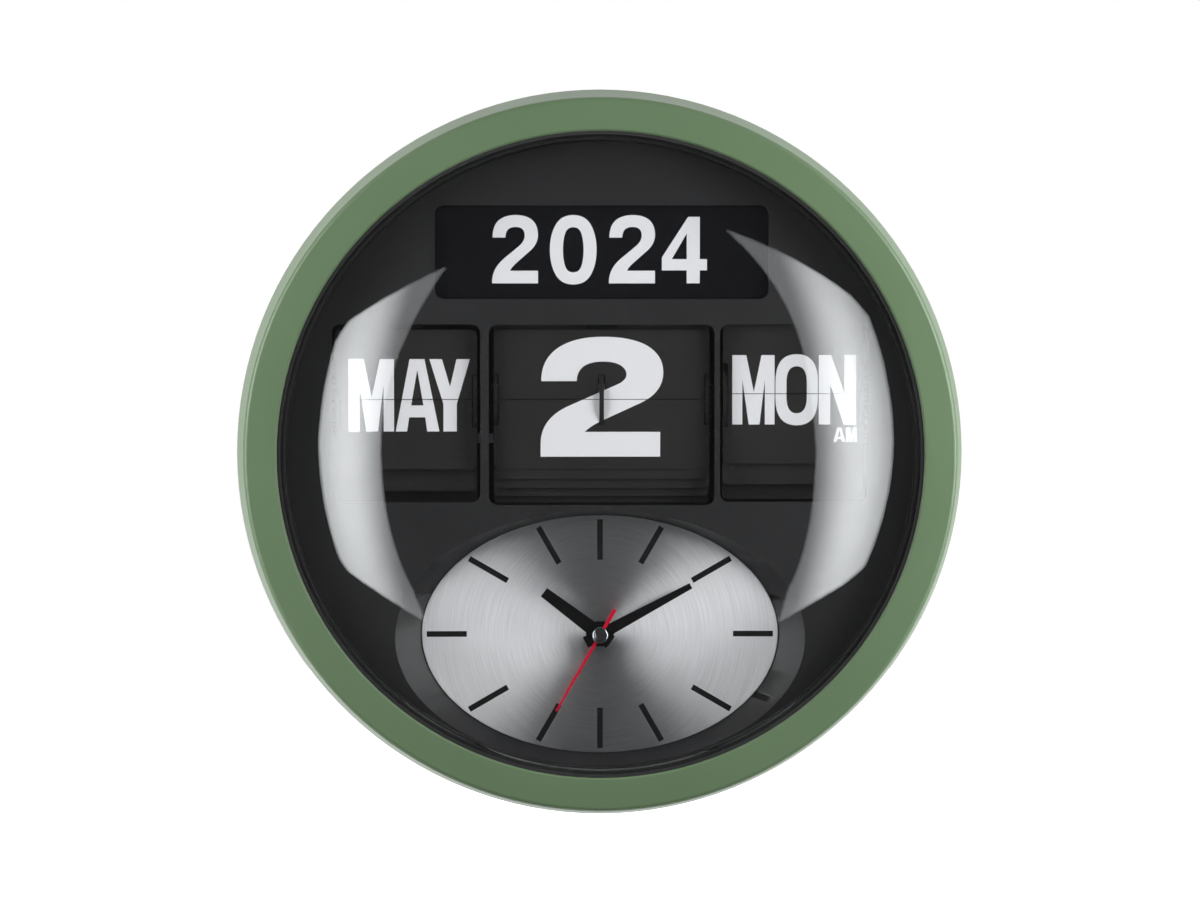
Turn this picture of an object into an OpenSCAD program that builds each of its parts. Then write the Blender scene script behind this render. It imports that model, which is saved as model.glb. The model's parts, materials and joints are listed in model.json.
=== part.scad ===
// Round wall clock with a domed lens, a flip calendar and an oval dial.
// Everything is laid out as [x, up, depth]: x to the right and up the wall as seen from the
// front, and depth measured forward from the wall. upright() stands that frame up, so that
// +Z is up and the front faces -Y. The origin is the middle of the back face, on the wall.

/* [Case] */
// How far the case widens from the front ring's edge to the joint between its halves
front_taper = 4; // [3:0.1:5]
// How far the back edge draws in from the case's largest radius
back_taper = 10; // [6:0.5:11]
// Width of the flat front ring
ring_w = 14.8; // [14:0.1:15]
// Depth of the front ring's face
bezel_front = 85; // [83:0.5:92]
// Depth of the joint between bezel and rear case
parting = 55; // [50:1:58]
// Wall thickness of the case
case_wall = 2.6; // [2.4:0.1:3]
// Thickness of the front ring
ring_t = 4; // [3:0.1:4.5]
// Rounding of the front ring's outer edge
edge_r = 2.2; // [1:0.1:2.5]
// Rounding of the back edge
back_edge_r = 12; // [8:1:14]

/* [Lens] */
// Height of the dome above its edge
lens_rise = 49; // [48:1:60]
// Thickness of the dome
lens_wall = 2.4; // [2:0.1:2.6]
// How far the dome's edge sits behind the ring's face
lens_set = 2; // [1:0.1:2.5]
// Width of the gasket line between dome and ring
gasket_w = 1.5; // [1:0.1:2]
// Thickness of the gasket under the ring
gasket_t = 0.8; // [0.5:0.1:1.2]
// Thickness of the dome's flange and of the retainer behind it
flange_lens_t = 2; // [1.6:0.1:2.2]
// How far the dome's flange reaches under the front ring
flange_reach = 5.8; // [5:0.1:6.4]

/* [Face plate] */
// Depth of the front of the face plate
face_front = 65; // [64.6:0.1:66]
// Thickness of the face plate
face_t = 2; // [1.6:0.1:2.2]
// How far the face plate reaches under the front ring
face_reach = 5.3; // [4.6:0.1:5.5]
// Least distance from the side windows to the front ring's opening
side_margin = 23.7; // [22:0.1:28]
// Depth of the walls behind each window
window_rim = 2; // [1.4:0.1:2]
// Thickness of the walls behind each window
window_rim_t = 1.2; // [1:0.1:1.3]
// Corner radius of the windows
window_r = 4; // [2:0.5:6]
// Width of the date window
date_window_w = 99; // [98:0.5:100]
// Height of the date window
date_window_h = 79.2; // [78:0.2:80]
// Middle of the date window above the centre
date_window_up = 16.8; // [16.5:0.1:17]
// Width of the month and weekday windows
side_window_w = 65; // [64.5:0.1:65.5]
// Height of the month and weekday windows
side_window_h = 78; // [77:0.2:78.6]
// Middle of the month and weekday windows above the centre
side_window_up = 17.6; // [17.4:0.1:17.8]
// Width of the bars between the windows
window_gap = 3; // [2.8:0.1:5]
// Sideways place of the date window
date_x = 0.7; // [0:0.1:0.8]

/* [Year] */
// Width of the year window
year_w = 146.3; // [130:0.5:150]
// Height of the year window
year_h = 41; // [36:0.5:42]
// Middle of the year window above the centre
year_up = 88.1; // [88:0.1:90]
// Thickness of the year card
card_t = 0.8; // [0.4:0.1:1]
// How far the card reaches past the window on each side
card_lap = 2; // [1.5:0.1:2.2]

/* [Dial] */
// Middle of the dial below the centre
dial_up = -79.7; // [-80.5:0.1:-79.5]
// Half width of the dial
dial_rx = 78.5; // [74:0.5:80]
// Half height of the dial
dial_ry = 52.4; // [50:0.1:52.6]
// Half width of the mouth of the well around the dial
well_rx = 89.9; // [86:0.1:91]
// Half height of the mouth of the well
well_ry = 56.1; // [55:0.1:56.6]
// Middle of the mouth of the well below the centre
well_up = -80.9; // [-81:0.1:-80.5]
// Least distance from the well to the front ring's opening
well_margin = 4.2; // [3.6:0.1:8]
// Depth of the front of the dial
dial_front = 58; // [57.5:0.1:58.5]
// Thickness of the dial
dial_t = 0.8; // [0.5:0.1:1]
// Wall of the well
well_wall = 1.6; // [1.2:0.1:1.8]

/* [Flip units] */
// Height of the seam between upper and lower leaves above the centre
split_up = 23.6; // [23:0.1:24]
// Depth of the front of the upper leaves
leaf_front = 60; // [59.6:0.1:60.2]
// Height of a leaf
leaf_h = 30.6; // [30:0.1:30.8]
// Thickness of a leaf
leaf_t = 0.4; // [0.3:0.05:0.4]
// Corner radius of a leaf
leaf_corner_r = 2.5; // [1:0.1:4]
// Gap beside the date leaves in their window
date_leaf_gap = 2.1; // [2:0.1:3]
// Gap beside the month and weekday leaves in their windows
side_leaf_gap = 1.5; // [1.4:0.1:2]
// Radius of the circle of leaf pins
pin_circle_r = 22; // [21.8:0.1:22]
// Radius of the drum flanges
flange_r = 24.1; // [24:0.1:24.6]
// Thickness of the drum flanges
flange_t = 1.8; // [1.6:0.1:2]
// Radius of a leaf pin
pin_r = 0.4; // [0.3:0.05:0.45]
// Number of month leaves
month_count = 12; // [10:1:14]
// Number of date leaves
date_count = 31; // [28:1:31]
// Number of weekday leaves, two for each day
weekday_count = 14; // [12:1:16]
// How far the weekday leaves' seam sits above the others
weekday_lift = 2.4; // [1.8:0.1:2.4]
// Radius of the drum axle
axle_r = 3; // [2.5:0.1:3.2]
// Radial play of turning pieces on their shafts
running_play = 0.05; // [0.03:0.01:0.08]

/* [Flip frame] */
// Thickness of the frame plates
plate_t = 1.2; // [1:0.1:1.4]
// Distance of the outer frame plates from the side windows
outer_plate_set = 4.5; // [4.2:0.1:5.5]
// Radius of the cross rods
rod_r = 2; // [1.5:0.1:2.2]
// Teeth of the drum gears for the thumbwheels
drum_teeth = 30; // [30:1:30]
// Teeth of a thumbwheel's gear
thumb_teeth = 15; // [15:1:15]
// Teeth of the motor pinion
motor_teeth = 10; // [10:1:10]
// Radius of a thumbwheel
thumb_r = 14.5; // [12:0.5:15]
// Width of a thumbwheel
thumb_w = 5; // [3:0.5:6]

/* [Movement] */
// Half width of the gear box
movement_rx = 30; // [29.5:0.5:32]
// Reach of the gear box above the hands' axis
movement_top = 24; // [23.5:0.5:26]
// Reach of the gear box below the hands' axis
movement_bottom = 13.3; // [13.2:0.1:13.6]
// Depth of the back of the gear box
movement_back = 39; // [38.5:0.1:39]
// Wall of the movement case
movement_wall = 1.5; // [1.2:0.1:1.6]
// Distance from the hands' axis to the third wheel and the rotor
train_distance = 8.5; // [8.5:0.1:8.6]
// Distance from the hands' axis to the minute wheel
motion_distance = 8.4; // [8.4:0.1:8.5]
// Radius of the set knob
knob_r = 8; // [6:0.5:8.5]

/* [Hands] */
// Reach of the hour hand
hour_len = 30.9; // [28:0.1:34]
// Reach of the minute hand
minute_len = 45.3; // [40:0.1:47]
// Reach of the second hand
second_len = 38.6; // [34:0.1:44]
// Thickness of the hands
hand_t = 0.6; // [0.4:0.1:0.7]
// Radius of the centre cap
cap_r = 3.55; // [3:0.05:4.5]

/* [Battery] */
// Radius of the cell
cell_r = 16.1; // [15.6:0.1:16.2]
// Length of the cell's body
cell_len = 59.5; // [58:0.1:60]
// Room beyond each end of the cell's body, with the bay's wall
bay_end = 4.25; // [4.2:0.05:4.75]
// Height of the battery bay beyond the cell's
bay_spare = 3.3; // [3.1:0.1:3.6]
// Depth of the back of the battery bay
bay_back = 20; // [18:0.5:20]

/* [Hidden] */

fine = 180;
round = 48;
small = 24;
eps = 0.05;
fit = 0.3;

case_green = "#6F8864";
satin_black = "#2B2B2E";
leaf_black = "#262425";
plastic_grey = "#55565A";
steel = "#B9BCC0";
brass = "#C2A24E";

// Widths of the flip units
date_leaf_w = date_window_w - 2 * date_leaf_gap;
side_leaf_w = side_window_w - 2 * side_leaf_gap;
side_x = (date_window_w + side_window_w) / 2 + window_gap;
outer_plate_x = side_x + side_window_w / 2 + outer_plate_set;

// Case and lens, around the widest of the windows and the well
lens_open_r = max(side_x + side_window_w / 2 + side_margin, well_ry - well_up + well_margin);
front_r = lens_open_r + ring_w;
case_r = front_r + front_taper;
back_r = case_r - back_taper;
lens_flange_r = lens_open_r + flange_reach;
ring_back = bezel_front - ring_t;
lens_r = lens_open_r - gasket_w;
lens_base = bezel_front - lens_set;
lens_apex = lens_base + lens_rise;
lens_ball_r = (lens_r * lens_r + lens_rise * lens_rise) / (2 * lens_rise);
lens_ball_z = lens_apex - lens_ball_r;
lens_skirt_r = sqrt(pow(lens_ball_r - lens_wall, 2) - pow(lens_base - lens_ball_z, 2));
flange_front = ring_back - gasket_t;
flange_back = flange_front - flange_lens_t;
retainer_back = flange_back - flange_lens_t;
retainer_lug_r = 3.6;
retainer_angles = [for (i = [0 : 7]) 22.5 + 45 * i];
post_angles = [for (i = [0 : 5]) 60 * i];
case_screw_angles = [40, 90, 140, 220, 270, 320];
lap_t = 1.2;
lap_len = 3.5;
post_r = 3;
post_circle_r = lens_flange_r + fit + post_r;
face_r = lens_open_r + face_reach;
post_edge = 0.5;
case_screw_circle_r = face_r - post_r - post_edge;
boss_r = 2.6;
tube_r = 4.2;
tube_bore_r = 2.9;
screw_r = 1.2;
screw_hole_r = 1.6;
pilot_r = 1.25;
screw_head_r = 2.5;
screw_head_t = 1.5;
case_screw_reach = 5.5;
retainer_screw_reach = 4.5;
post_screw_reach = 7;
tab_screw_reach = 5;
tube_floor = 2.5;
face_back = face_front - face_t;
tube_end = face_back - 3.5;

// Back openings and the hanger
hanger_up = 110;
hanger_w = 34;
hanger_h = 48;
hanger_t = 1.5;
hanger_open_w = 24;
hanger_open_h = 36;
key_r = 5;
key_slot_r = 2.2;
key_rise = 9;
hanger_screw_x = 14.5;
hanger_screw_up = 20;

// Year card and its holder
card_w = year_w + 2 * card_lap;
card_h = year_h + 2 * card_lap;
rim_back = face_back - window_rim;
card_front = rim_back - 0.1;
holder_t = 1.5;
holder_front = card_front - card_t - 0.2;
holder_rail = 2;
holder_lug_x = 60;
holder_h = card_h + 2 * fit + 2 * holder_rail;
holder_low = year_up - holder_h / 2;
lug_r = 4;
holder_lugs = [[-holder_lug_x, year_up + holder_h / 2 + lug_r - 1],
    [holder_lug_x, year_up + holder_h / 2 + lug_r - 1],
    [date_x - card_w / 2 - holder_rail - lug_r + 1, year_up]];
holder_lug_t = 2;
holder_lug_front = face_back - 2.5;

// Dial
dial_back = dial_front - dial_t;
well_floor_t = 1.2;
well_back = dial_back - well_floor_t;
dial_lap = 1;

// Flip units
axle_depth = leaf_front - pin_circle_r;
groove_play = 0.8;
groove_depth = 1;
pin_reach = groove_depth - 0.2;
notch_w = flange_t + 0.4;
notch_play = 0.3;
stack_notch_play = 2.4;
// How far each leaf's heel edge stops short of the seam
seam_play = 0.15;
pin_root = 0.01;
next_set = 0.9;
month_x = -side_x;
weekday_x = side_x;
hub_r = 5.2;
bore_r = axle_r + running_play;
mid_flange_t = 2;
hub_end_play = 0.3;
neck_r = 11;
catch_w = 14;
catch_t = 0.6;
catch_gap = 0.4;
pad_w = 10;
pad_up = [date_window_up + date_window_h / 2 + window_rim_t, holder_low - fit];

// Frame plates: middle of each plate
left_plate_x = -outer_plate_x;
right_plate_x = outer_plate_x;
left_inner_x = (month_x + side_leaf_w / 2 + date_x - date_leaf_w / 2) / 2;
right_inner_x = (weekday_x - side_leaf_w / 2 + date_x + date_leaf_w / 2) / 2;
frame_front = 58.5;
rods = [[66, 10], [-30.4, 22], [-30.4, 48]];
plate_rim = 4;
tab_up = -30.3;
tab_size = [8, 5.4];
tab_hole_x = 4.6;
side_tabs = [50, -5];
clip_r = 5.5;
clip_t = 0.8;

// Gears of the calendar
drum_module = 1;
drum_gear_t = 3;
drum_gear_gap = 0.5;
thumb_distance = drum_module * (drum_teeth + thumb_teeth) / 2;
thumb_depth = axle_depth - thumb_distance;
thumb_shaft_r = 2;
motor_distance = drum_module * (drum_teeth + motor_teeth) / 2;
motor_dir = -45;
motor_r = 8;
motor_len = 14;
motor_shaft_r = 1;
carry_distance = 20;
carry_dir = 10;
carry_drive_teeth = 28;
carry_wheel_teeth = 32;
carry_pinion_teeth = 8;
date_gear_teeth = 31;
carry_module = 2 * carry_distance / (carry_drive_teeth + carry_wheel_teeth);
date_module = 2 * carry_distance / (carry_pinion_teeth + date_gear_teeth);
carry_t = 1.3;
carry_gap = 0.25;
carry_shaft_r = 1.2;
ratchet_r = 15;
ratchet_t = 1.4;
detent_w = 1;
detent_t = 0.5;
detent_len = 26;
anchor_size = 4;

// Movement
movement_front = well_back;
movement_in_front = movement_front - movement_wall;
movement_in_back = movement_back + movement_wall;
bay_rx = cell_len / 2 + bay_end;
bay_h = 2 * cell_r + bay_spare;
bay_top = dial_up - movement_bottom;
bay_up = bay_top - bay_h / 2;
bush_r = 4;
bush_end = dial_front + 3;
nut_t = 2;
nut_r = 6.3;
hour_tube_r = 2.6;
minute_tube_r = 1.6;
second_arbor_r = 0.6;
hour_hand_back = bush_end + 0.4;
minute_hand_back = hour_hand_back + 1.8;
second_hand_back = minute_hand_back + 1.8;
second_hand_t = 0.35;
cap_t = 2.4;
wheel_t = 1.2;
second_wheel_back = movement_in_back + 0.7;
third_wheel_back = second_wheel_back + 1.8;
rotor_r = 3;
rotor_len = 2.6;
centre_wheel_back = third_wheel_back + 4;
minute_wheel_back = centre_wheel_back + 2.8;
minute_wheel_t = 1.4;
hour_wheel_back = minute_wheel_back + 2.2;
hour_wheel_t = 1.5;
second_teeth = 60;
rotor_teeth = 8;
second_pinion_teeth = 8;
third_teeth = 60;
third_pinion_teeth = 8;
centre_teeth = 64;
cannon_teeth = 12;
minute_teeth = 36;
minute_pinion_teeth = 10;
hour_teeth = 40;
set_teeth = 12;
third_dir = -20;
rotor_dir = 155;
minute_dir = 90;
set_dir = 45;
third_pos = train_distance * [cos(third_dir), sin(third_dir)];
rotor_pos = train_distance * [cos(rotor_dir), sin(rotor_dir)];
minute_pos = motion_distance * [cos(minute_dir), sin(minute_dir)];
set_pos = minute_pos + motion_distance * [cos(set_dir), sin(set_dir)];
knob_shaft_r = 1.5;
knob_back = 1;
knob_len = 11;
knob_hole_r = knob_r + 2;
coil_r = 2.8;
coil_x = [-23.5, -10.5];
coil_up = -8.5;
stator_rise = 4.5;
stator_depth = movement_in_back + stator_rise;
stator_t = 1;
board_x = -27.4;
board_up = -6;
board_w = 18;
board_h = 22;
board_set = 3.5;
board_back = movement_in_front - board_set;
board_t = 1;
board_posts = [for (x = [2.6, board_w - 2.6], y = [2.6, board_h - 2.6]) [board_x + x, board_up + y]];

// Hands, clockwise from twelve
hour_angle = 307;
minute_angle = 61.7;
second_angle = 210;

// Battery and its door
contact_t = 0.4;
contact_size = 14;
cell_depth = (bay_back + movement_in_front) / 2;
door_pivot_up = bay_up - bay_h / 2 - 0.2;
door_depth = case_wall / 2;
door_w = 2 * bay_rx + 1;
door_h = bay_h + 1;
door_t = 2;
door_barrel_r = 1.3;
door_pin_r = 0.8;
door_pin_len = 2;

// Layout helpers

module upright() rotate([90, 0, 0]) children();

// Sweeps an outline drawn as [up, depth] along +x
module along_x(length) rotate([90, 0, 90]) linear_extrude(length) children();

module slab(back, thickness) translate([0, 0, back]) linear_extrude(thickness) children();

module rod(r, back, front) translate([0, 0, back]) cylinder(r = r, h = front - back, $fn = round);

module ring(r_in, r_out, back, front) translate([0, 0, back]) difference() {
    cylinder(r = r_out, h = front - back, $fn = fine);
    translate([0, 0, -1]) cylinder(r = r_in, h = front - back + 2, $fn = fine);
}

module around(radius, angles) for (a = angles) rotate([0, 0, a]) translate([radius, 0, 0]) children();

module round_box(w, h, r) {
    square([w - 2 * r, h], center = true);
    square([w, h - 2 * r], center = true);
    for (x = [-1, 1], y = [-1, 1]) translate([x * (w / 2 - r), y * (h / 2 - r)]) circle(r, $fn = round);
}

// Outline of an oval with its own half width and half height
module oval(rx, ry) polygon([for (a = [0 : 4 : 356]) [rx * cos(a), ry * sin(a)]]);

function arc_points(cx, cy, r, from, to, n) =
    [for (i = [0 : n]) let (a = from + (to - from) * i / n) [cx + r * cos(a), cy + r * sin(a)]];

// Radius of the case's outside in front of the parting
function bezel_r(depth) = front_r + (case_r - front_r) * (bezel_front - depth) / (bezel_front - parting);

// Gears

function involute_angle(a) = tan(a) * 180 / PI - a;

// Half angle of a tooth at radius r
function tooth_half(r, teeth, pitch_r, play) =
    let (base_r = pitch_r * cos(20), seen = max(r, base_r))
    90 / teeth - play / pitch_r * 180 / PI + involute_angle(20) - involute_angle(acos(base_r / seen));

module gear_outline(teeth, module_size, play = 0.05) {
    pitch_r = teeth * module_size / 2;
    root_r = pitch_r - 1.05 * module_size;
    tip_r = pitch_r + 0.8 * module_size;
    low_r = max(root_r, pitch_r * cos(20));
    radii = [for (i = [0 : 3]) low_r + (tip_r - low_r) * i / 3];
    flank = [for (r = radii) [r, tooth_half(r, teeth, pitch_r, play)]];
    half = concat([[root_r, tooth_half(root_r, teeth, pitch_r, play)]], root_r < low_r ? flank :
        [for (i = [1 : 3]) flank[i]]);
    last = len(half) - 1;
    polygon([for (i = [0 : teeth - 1]) let (a = 360 * i / teeth) each concat(
        [for (p = half) p[0] * [cos(a - p[1]), sin(a - p[1])]],
        [for (j = [0 : last]) let (p = half[last - j]) p[0] * [cos(a + p[1]), sin(a + p[1])]])]);
}

// Turn of a gear that meshes with a first gear, seen from the first gear in direction dir
function mesh_turn(dir, first_teeth, teeth, first_turn = 0) =
    dir + 180 + ((dir - first_turn) * first_teeth + 180) / teeth;

// Ratchet outline: each tooth has one steep and one sloping side
module ratchet_outline(teeth) polygon([for (i = [0 : teeth - 1]) let (a = 360 * i / teeth) each
    [ratchet_r * [cos(a), sin(a)], (ratchet_r - 2) * [cos(a + 2), sin(a + 2)]]]);

// Screw that points forward, with the underside of its head at the given depth
module screw(seat, reach) {
    rod(screw_r, seat - eps, seat + reach);
    translate([0, 0, seat - screw_head_t]) difference() {
        cylinder(r = screw_head_r, h = screw_head_t, $fn = small);
        for (a = [0, 90]) rotate([0, 0, a]) cube([3.2, 0.7, 1.4], center = true);
    }
}

// Case

module bezel() color(case_green) upright() {
    outline = concat([[lens_open_r, ring_back], [lens_open_r, bezel_front - 0.8],
        [lens_open_r + 0.8, bezel_front]],
        arc_points(front_r - edge_r, bezel_front - edge_r, edge_r, 90, 0, 6),
        [[case_r, parting], [case_r - lap_t - 0.2, parting],
        [case_r - lap_t - 0.2, parting - lap_len], [case_r - 2 * lap_t - 0.2, parting - lap_len],
        [bezel_r(parting) - 2 * lap_t - 0.2, parting], [bezel_r(ring_back) - case_wall, ring_back]]);
    difference() {
        union() {
            rotate_extrude($fn = fine) polygon(outline);
            around(post_circle_r, retainer_angles) rod(boss_r, flange_back, ring_back + 1);
            around(post_circle_r, post_angles) rod(post_r, face_front, ring_back + 1);
        }
        around(post_circle_r, retainer_angles) rod(pilot_r, flange_back - 1, ring_back + 0.5);
        around(post_circle_r, post_angles) rod(pilot_r, face_front - 1, face_front + 8);
    }
}

module rear_case() color(case_green) upright() {
    rim_in = case_r - 2 * lap_t - 0.4;
    outside = concat([[0, 0]], arc_points(back_r - back_edge_r, back_edge_r, back_edge_r, -90, 0, 10),
        [[case_r, parting]]);
    outline = concat(outside,
        [[case_r - lap_t, parting], [case_r - lap_t, parting - lap_len - 0.1],
        [rim_in - 0.6, parting - lap_len - 0.1]],
        arc_points(back_r - back_edge_r, back_edge_r, back_edge_r - case_wall, 0, -90, 10),
        [[0, case_wall]]);
    difference() {
        union() {
            rotate_extrude($fn = fine) polygon(outline);
            intersection() {
                around(case_screw_circle_r, case_screw_angles) rod(tube_r, 0, tube_end);
                rotate_extrude($fn = fine) polygon(concat(outside, [[case_r, tube_end], [0, tube_end]]));
            }
        }
        around(case_screw_circle_r, case_screw_angles) {
            rod(tube_bore_r, -1, tube_end - tube_floor);
            rod(screw_hole_r, 0, tube_end + 1);
        }
        translate([0, hanger_up, 0]) slab(-1, case_wall + 2) round_box(hanger_open_w, hanger_open_h, 3);
        for (x = [-1, 1], y = [-1, 1])
            translate([x * hanger_screw_x, hanger_up + y * hanger_screw_up, 0])
            rod(pilot_r, 0.5, case_wall + 1);
        translate([0, dial_up, 0]) translate(set_pos) rod(knob_hole_r, -1, case_wall + 1);
        translate([0, bay_up, 0]) slab(-1, case_wall + 2)
            translate([0, 0.2]) square([door_w + 2 * fit, door_h + 2 * 1.5], center = true);
        for (s = [-1, 1]) translate([s * (door_w / 2 + door_pin_len / 2), door_pivot_up, door_depth])
            translate([-door_pin_len / 2 - 0.5, 0, 0]) along_x(door_pin_len + 1)
            circle(door_pin_r + running_play, $fn = small);
        for (s = [-1, 1]) translate([s * thumb_x(), split_up, 0]) slab(-1, case_wall + 2)
            square([thumb_w + 4, 2 * thumb_r - 6], center = true);
    }
}

function thumb_x() = outer_plate_x + plate_t / 2 + 1.6 + thumb_w / 2;

module dome_lens() color("#DDE6EA", 0.3) upright() {
    difference() {
        union() {
            intersection() {
                translate([0, 0, lens_ball_z]) sphere(r = lens_ball_r, $fn = fine);
                translate([0, 0, lens_base]) cylinder(r = lens_r + 1, h = lens_rise + 1, $fn = fine);
            }
            translate([0, 0, flange_back]) cylinder(r = lens_r, h = lens_base - flange_back, $fn = fine);
            translate([0, 0, flange_back]) cylinder(r = lens_flange_r, h = flange_lens_t, $fn = fine);
        }
        intersection() {
            translate([0, 0, lens_ball_z]) sphere(r = lens_ball_r - lens_wall, $fn = fine);
            translate([0, 0, lens_base]) cylinder(r = lens_r, h = lens_rise, $fn = fine);
        }
        translate([0, 0, flange_back - 1])
            cylinder(r = lens_skirt_r, h = lens_base - flange_back + 1, $fn = fine);
    }
}

module lens_gasket() color("#1B1B1C") upright() rotate_extrude($fn = fine) polygon([
    [lens_r + eps, flange_front], [lens_flange_r, flange_front], [lens_flange_r, ring_back],
    [lens_open_r - eps, ring_back], [lens_open_r - eps, lens_base + 1], [lens_r + eps, lens_base + 1]]);

module lens_retainer() color(satin_black) upright() difference() {
    union() {
        ring(lens_skirt_r + 1, lens_flange_r - 0.4, retainer_back, flange_back);
        around(post_circle_r, retainer_angles) {
            rod(retainer_lug_r, retainer_back, flange_back);
            translate([-2 * retainer_lug_r, -retainer_lug_r, retainer_back])
                cube([2 * retainer_lug_r, 2 * retainer_lug_r, flange_lens_t]);
        }
    }
    around(post_circle_r, retainer_angles) rod(screw_hole_r, retainer_back - 1, flange_back + 1);
}

module retainer_screws() color(steel) upright()
    around(post_circle_r, retainer_angles) screw(retainer_back, retainer_screw_reach);

module case_screws() color(steel) upright()
    around(case_screw_circle_r, case_screw_angles) screw(tube_end - tube_floor, case_screw_reach);

module battery_door() color(case_green) upright() translate([0, door_pivot_up, door_depth]) {
    difference() {
        translate([-door_w / 2, 0, -door_t / 2]) cube([door_w, door_h, door_t]);
        translate([-6, door_h - 3, -door_t / 2 - 1]) cube([12, 4, 1.8]);
    }
    translate([-door_w / 2, 0, 0]) along_x(door_w) circle(door_barrel_r, $fn = small);
    translate([-door_w / 2 - door_pin_len, 0, 0]) along_x(door_w + 2 * door_pin_len)
        circle(door_pin_r, $fn = small);
}

module hanger_plate() color(steel) upright() translate([0, hanger_up, case_wall]) linear_extrude(hanger_t)
    difference() {
        round_box(hanger_w, hanger_h, 3);
        translate([0, -key_rise / 2]) circle(key_r, $fn = round);
        translate([-key_slot_r, -key_rise / 2]) square([2 * key_slot_r, key_rise + key_r / 2]);
        translate([0, key_rise / 2 + key_r / 2]) circle(key_slot_r, $fn = round);
        for (x = [-1, 1], y = [-1, 1])
            translate([x * hanger_screw_x, y * hanger_screw_up]) circle(screw_hole_r - 0.2, $fn = small);
    }

// The screws of the hanger plate point back into the case wall
module hanger_screws() color(steel) upright() for (x = [-1, 1], y = [-1, 1])
    translate([x * hanger_screw_x, hanger_up + y * hanger_screw_up, case_wall + hanger_t])
        mirror([0, 0, 1]) screw(0, 3.2);

// Face

module window(x, up, w, h, back, front, grow = 0) translate([x, up, 0]) slab(back, front - back)
    round_box(w + 2 * grow, h + 2 * grow, window_r + grow);

module each_window(back, front, grow = 0) {
    window(date_x, date_window_up, date_window_w, date_window_h, back, front, grow);
    for (x = [month_x, weekday_x]) window(x, side_window_up, side_window_w, side_window_h, back, front, grow);
    window(date_x, year_up, year_w, year_h, back, front, grow);
}

module oval_slice(rx, ry, up, depth) translate([0, up, depth]) linear_extrude(0.01) oval(rx, ry);

// Sloped wall of the well between its mouth and the dial
module well(grow, floor_depth) hull() {
    oval_slice(well_rx + grow, well_ry + grow, well_up, face_front - 0.01);
    oval_slice(dial_rx + grow, dial_ry + grow, dial_up, floor_depth);
}

function frame_screw_places() = [
    [left_inner_x + tab_hole_x, tab_up], [right_inner_x + tab_hole_x, tab_up],
    [left_plate_x - tab_hole_x, side_tabs[0]], [left_plate_x - tab_hole_x, side_tabs[1]],
    [right_plate_x + tab_hole_x, side_tabs[0]], [right_plate_x + tab_hole_x, side_tabs[1]]];

module face_plate() color(satin_black) upright() difference() {
    union() {
        translate([0, 0, face_back]) cylinder(r = face_r, h = face_t, $fn = fine);
        around(post_circle_r, post_angles) rod(5, face_back, face_front);
        each_window(rim_back, face_front, window_rim_t);
        well(well_wall, well_back);
        around(case_screw_circle_r, case_screw_angles) rod(post_r, tube_end, face_front - 1);
        for (p = frame_screw_places()) translate(p) rod(boss_r, frame_front, face_front - 1);
        for (p = holder_lugs) translate(p) rod(boss_r, holder_lug_front, face_front - 1);
        for (x = [month_x, date_x, weekday_x])
            translate([x - pad_w / 2, pad_up[0], rim_back]) cube([pad_w, pad_up[1] - pad_up[0], 3]);
    }
    each_window(rim_back - 5, face_front + 1);
    difference() {
        well(0, dial_back);
        translate([0, 0, -1]) cube([400, 400, 2 * dial_back + 2], center = true);
    }
    translate([0, dial_up, 0]) rod(bush_r + 0.2, well_back - 1, dial_back + 1);
    around(post_circle_r, post_angles) rod(screw_hole_r, face_back - 1, face_front + 1);
    around(case_screw_circle_r, case_screw_angles) rod(pilot_r, tube_end - 1, tube_end + 4);
    for (p = frame_screw_places()) translate(p) rod(pilot_r, frame_front - 1, frame_front + 5);
    for (p = holder_lugs) translate(p) rod(pilot_r, holder_lug_front - 1, holder_lug_front + 3.5);
}

module plate_screws() color(steel) upright() {
    around(post_circle_r, post_angles) screw(face_back, post_screw_reach);
    for (p = frame_screw_places()) translate(p) screw(frame_front - plate_t, tab_screw_reach);
    for (p = holder_lugs) translate(p) screw(holder_lug_front - holder_lug_t, tab_screw_reach);
}

module dial_plate() color("#C8CBCD") upright() translate([0, dial_up, dial_back]) difference() {
    linear_extrude(dial_t) oval(dial_rx - 0.15, dial_ry - 0.15);
    translate([0, 0, -1]) cylinder(r = bush_r + 0.2, h = dial_t + 2, $fn = round);
}

module year_card() color("#1E2026") upright()
    translate([date_x - card_w / 2, year_up - card_h / 2, card_front - card_t])
    cube([card_w, card_h, card_t]);

module card_holder() color(plastic_grey) upright() {
    left = date_x - card_w / 2 - holder_rail;
    difference() {
        union() {
            translate([left, year_up - holder_h / 2, holder_front - holder_t])
                cube([card_w + holder_rail, holder_h, face_back - holder_front + holder_t]);
            for (p = holder_lugs) translate(p)
                rod(lug_r, holder_lug_front - holder_lug_t, holder_lug_front);
        }
        translate([left + holder_rail - fit, year_up - card_h / 2 - fit, holder_front])
            cube([card_w + 10, card_h + 2 * fit, 20]);
        for (p = holder_lugs) translate(p) rod(screw_hole_r, 0, face_front);
    }
}

// Flip frame

module plate_outline() difference() {
    union() {
        polygon([[rods[0][0] + plate_rim, rods[0][1] - plate_rim + 1], [rods[0][0] + plate_rim, 16],
            [56, frame_front - plate_t], [rods[2][0] - plate_rim + 1, frame_front - plate_t],
            [rods[2][0] - plate_rim + 1, rods[1][1] - plate_rim], [0, rods[0][1] - plate_rim + 1]]);
    }
    translate([split_up, axle_depth]) circle(axle_r + running_play, $fn = round);
    for (p = rods) translate(p) circle(rod_r + running_play, $fn = small);
}

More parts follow.
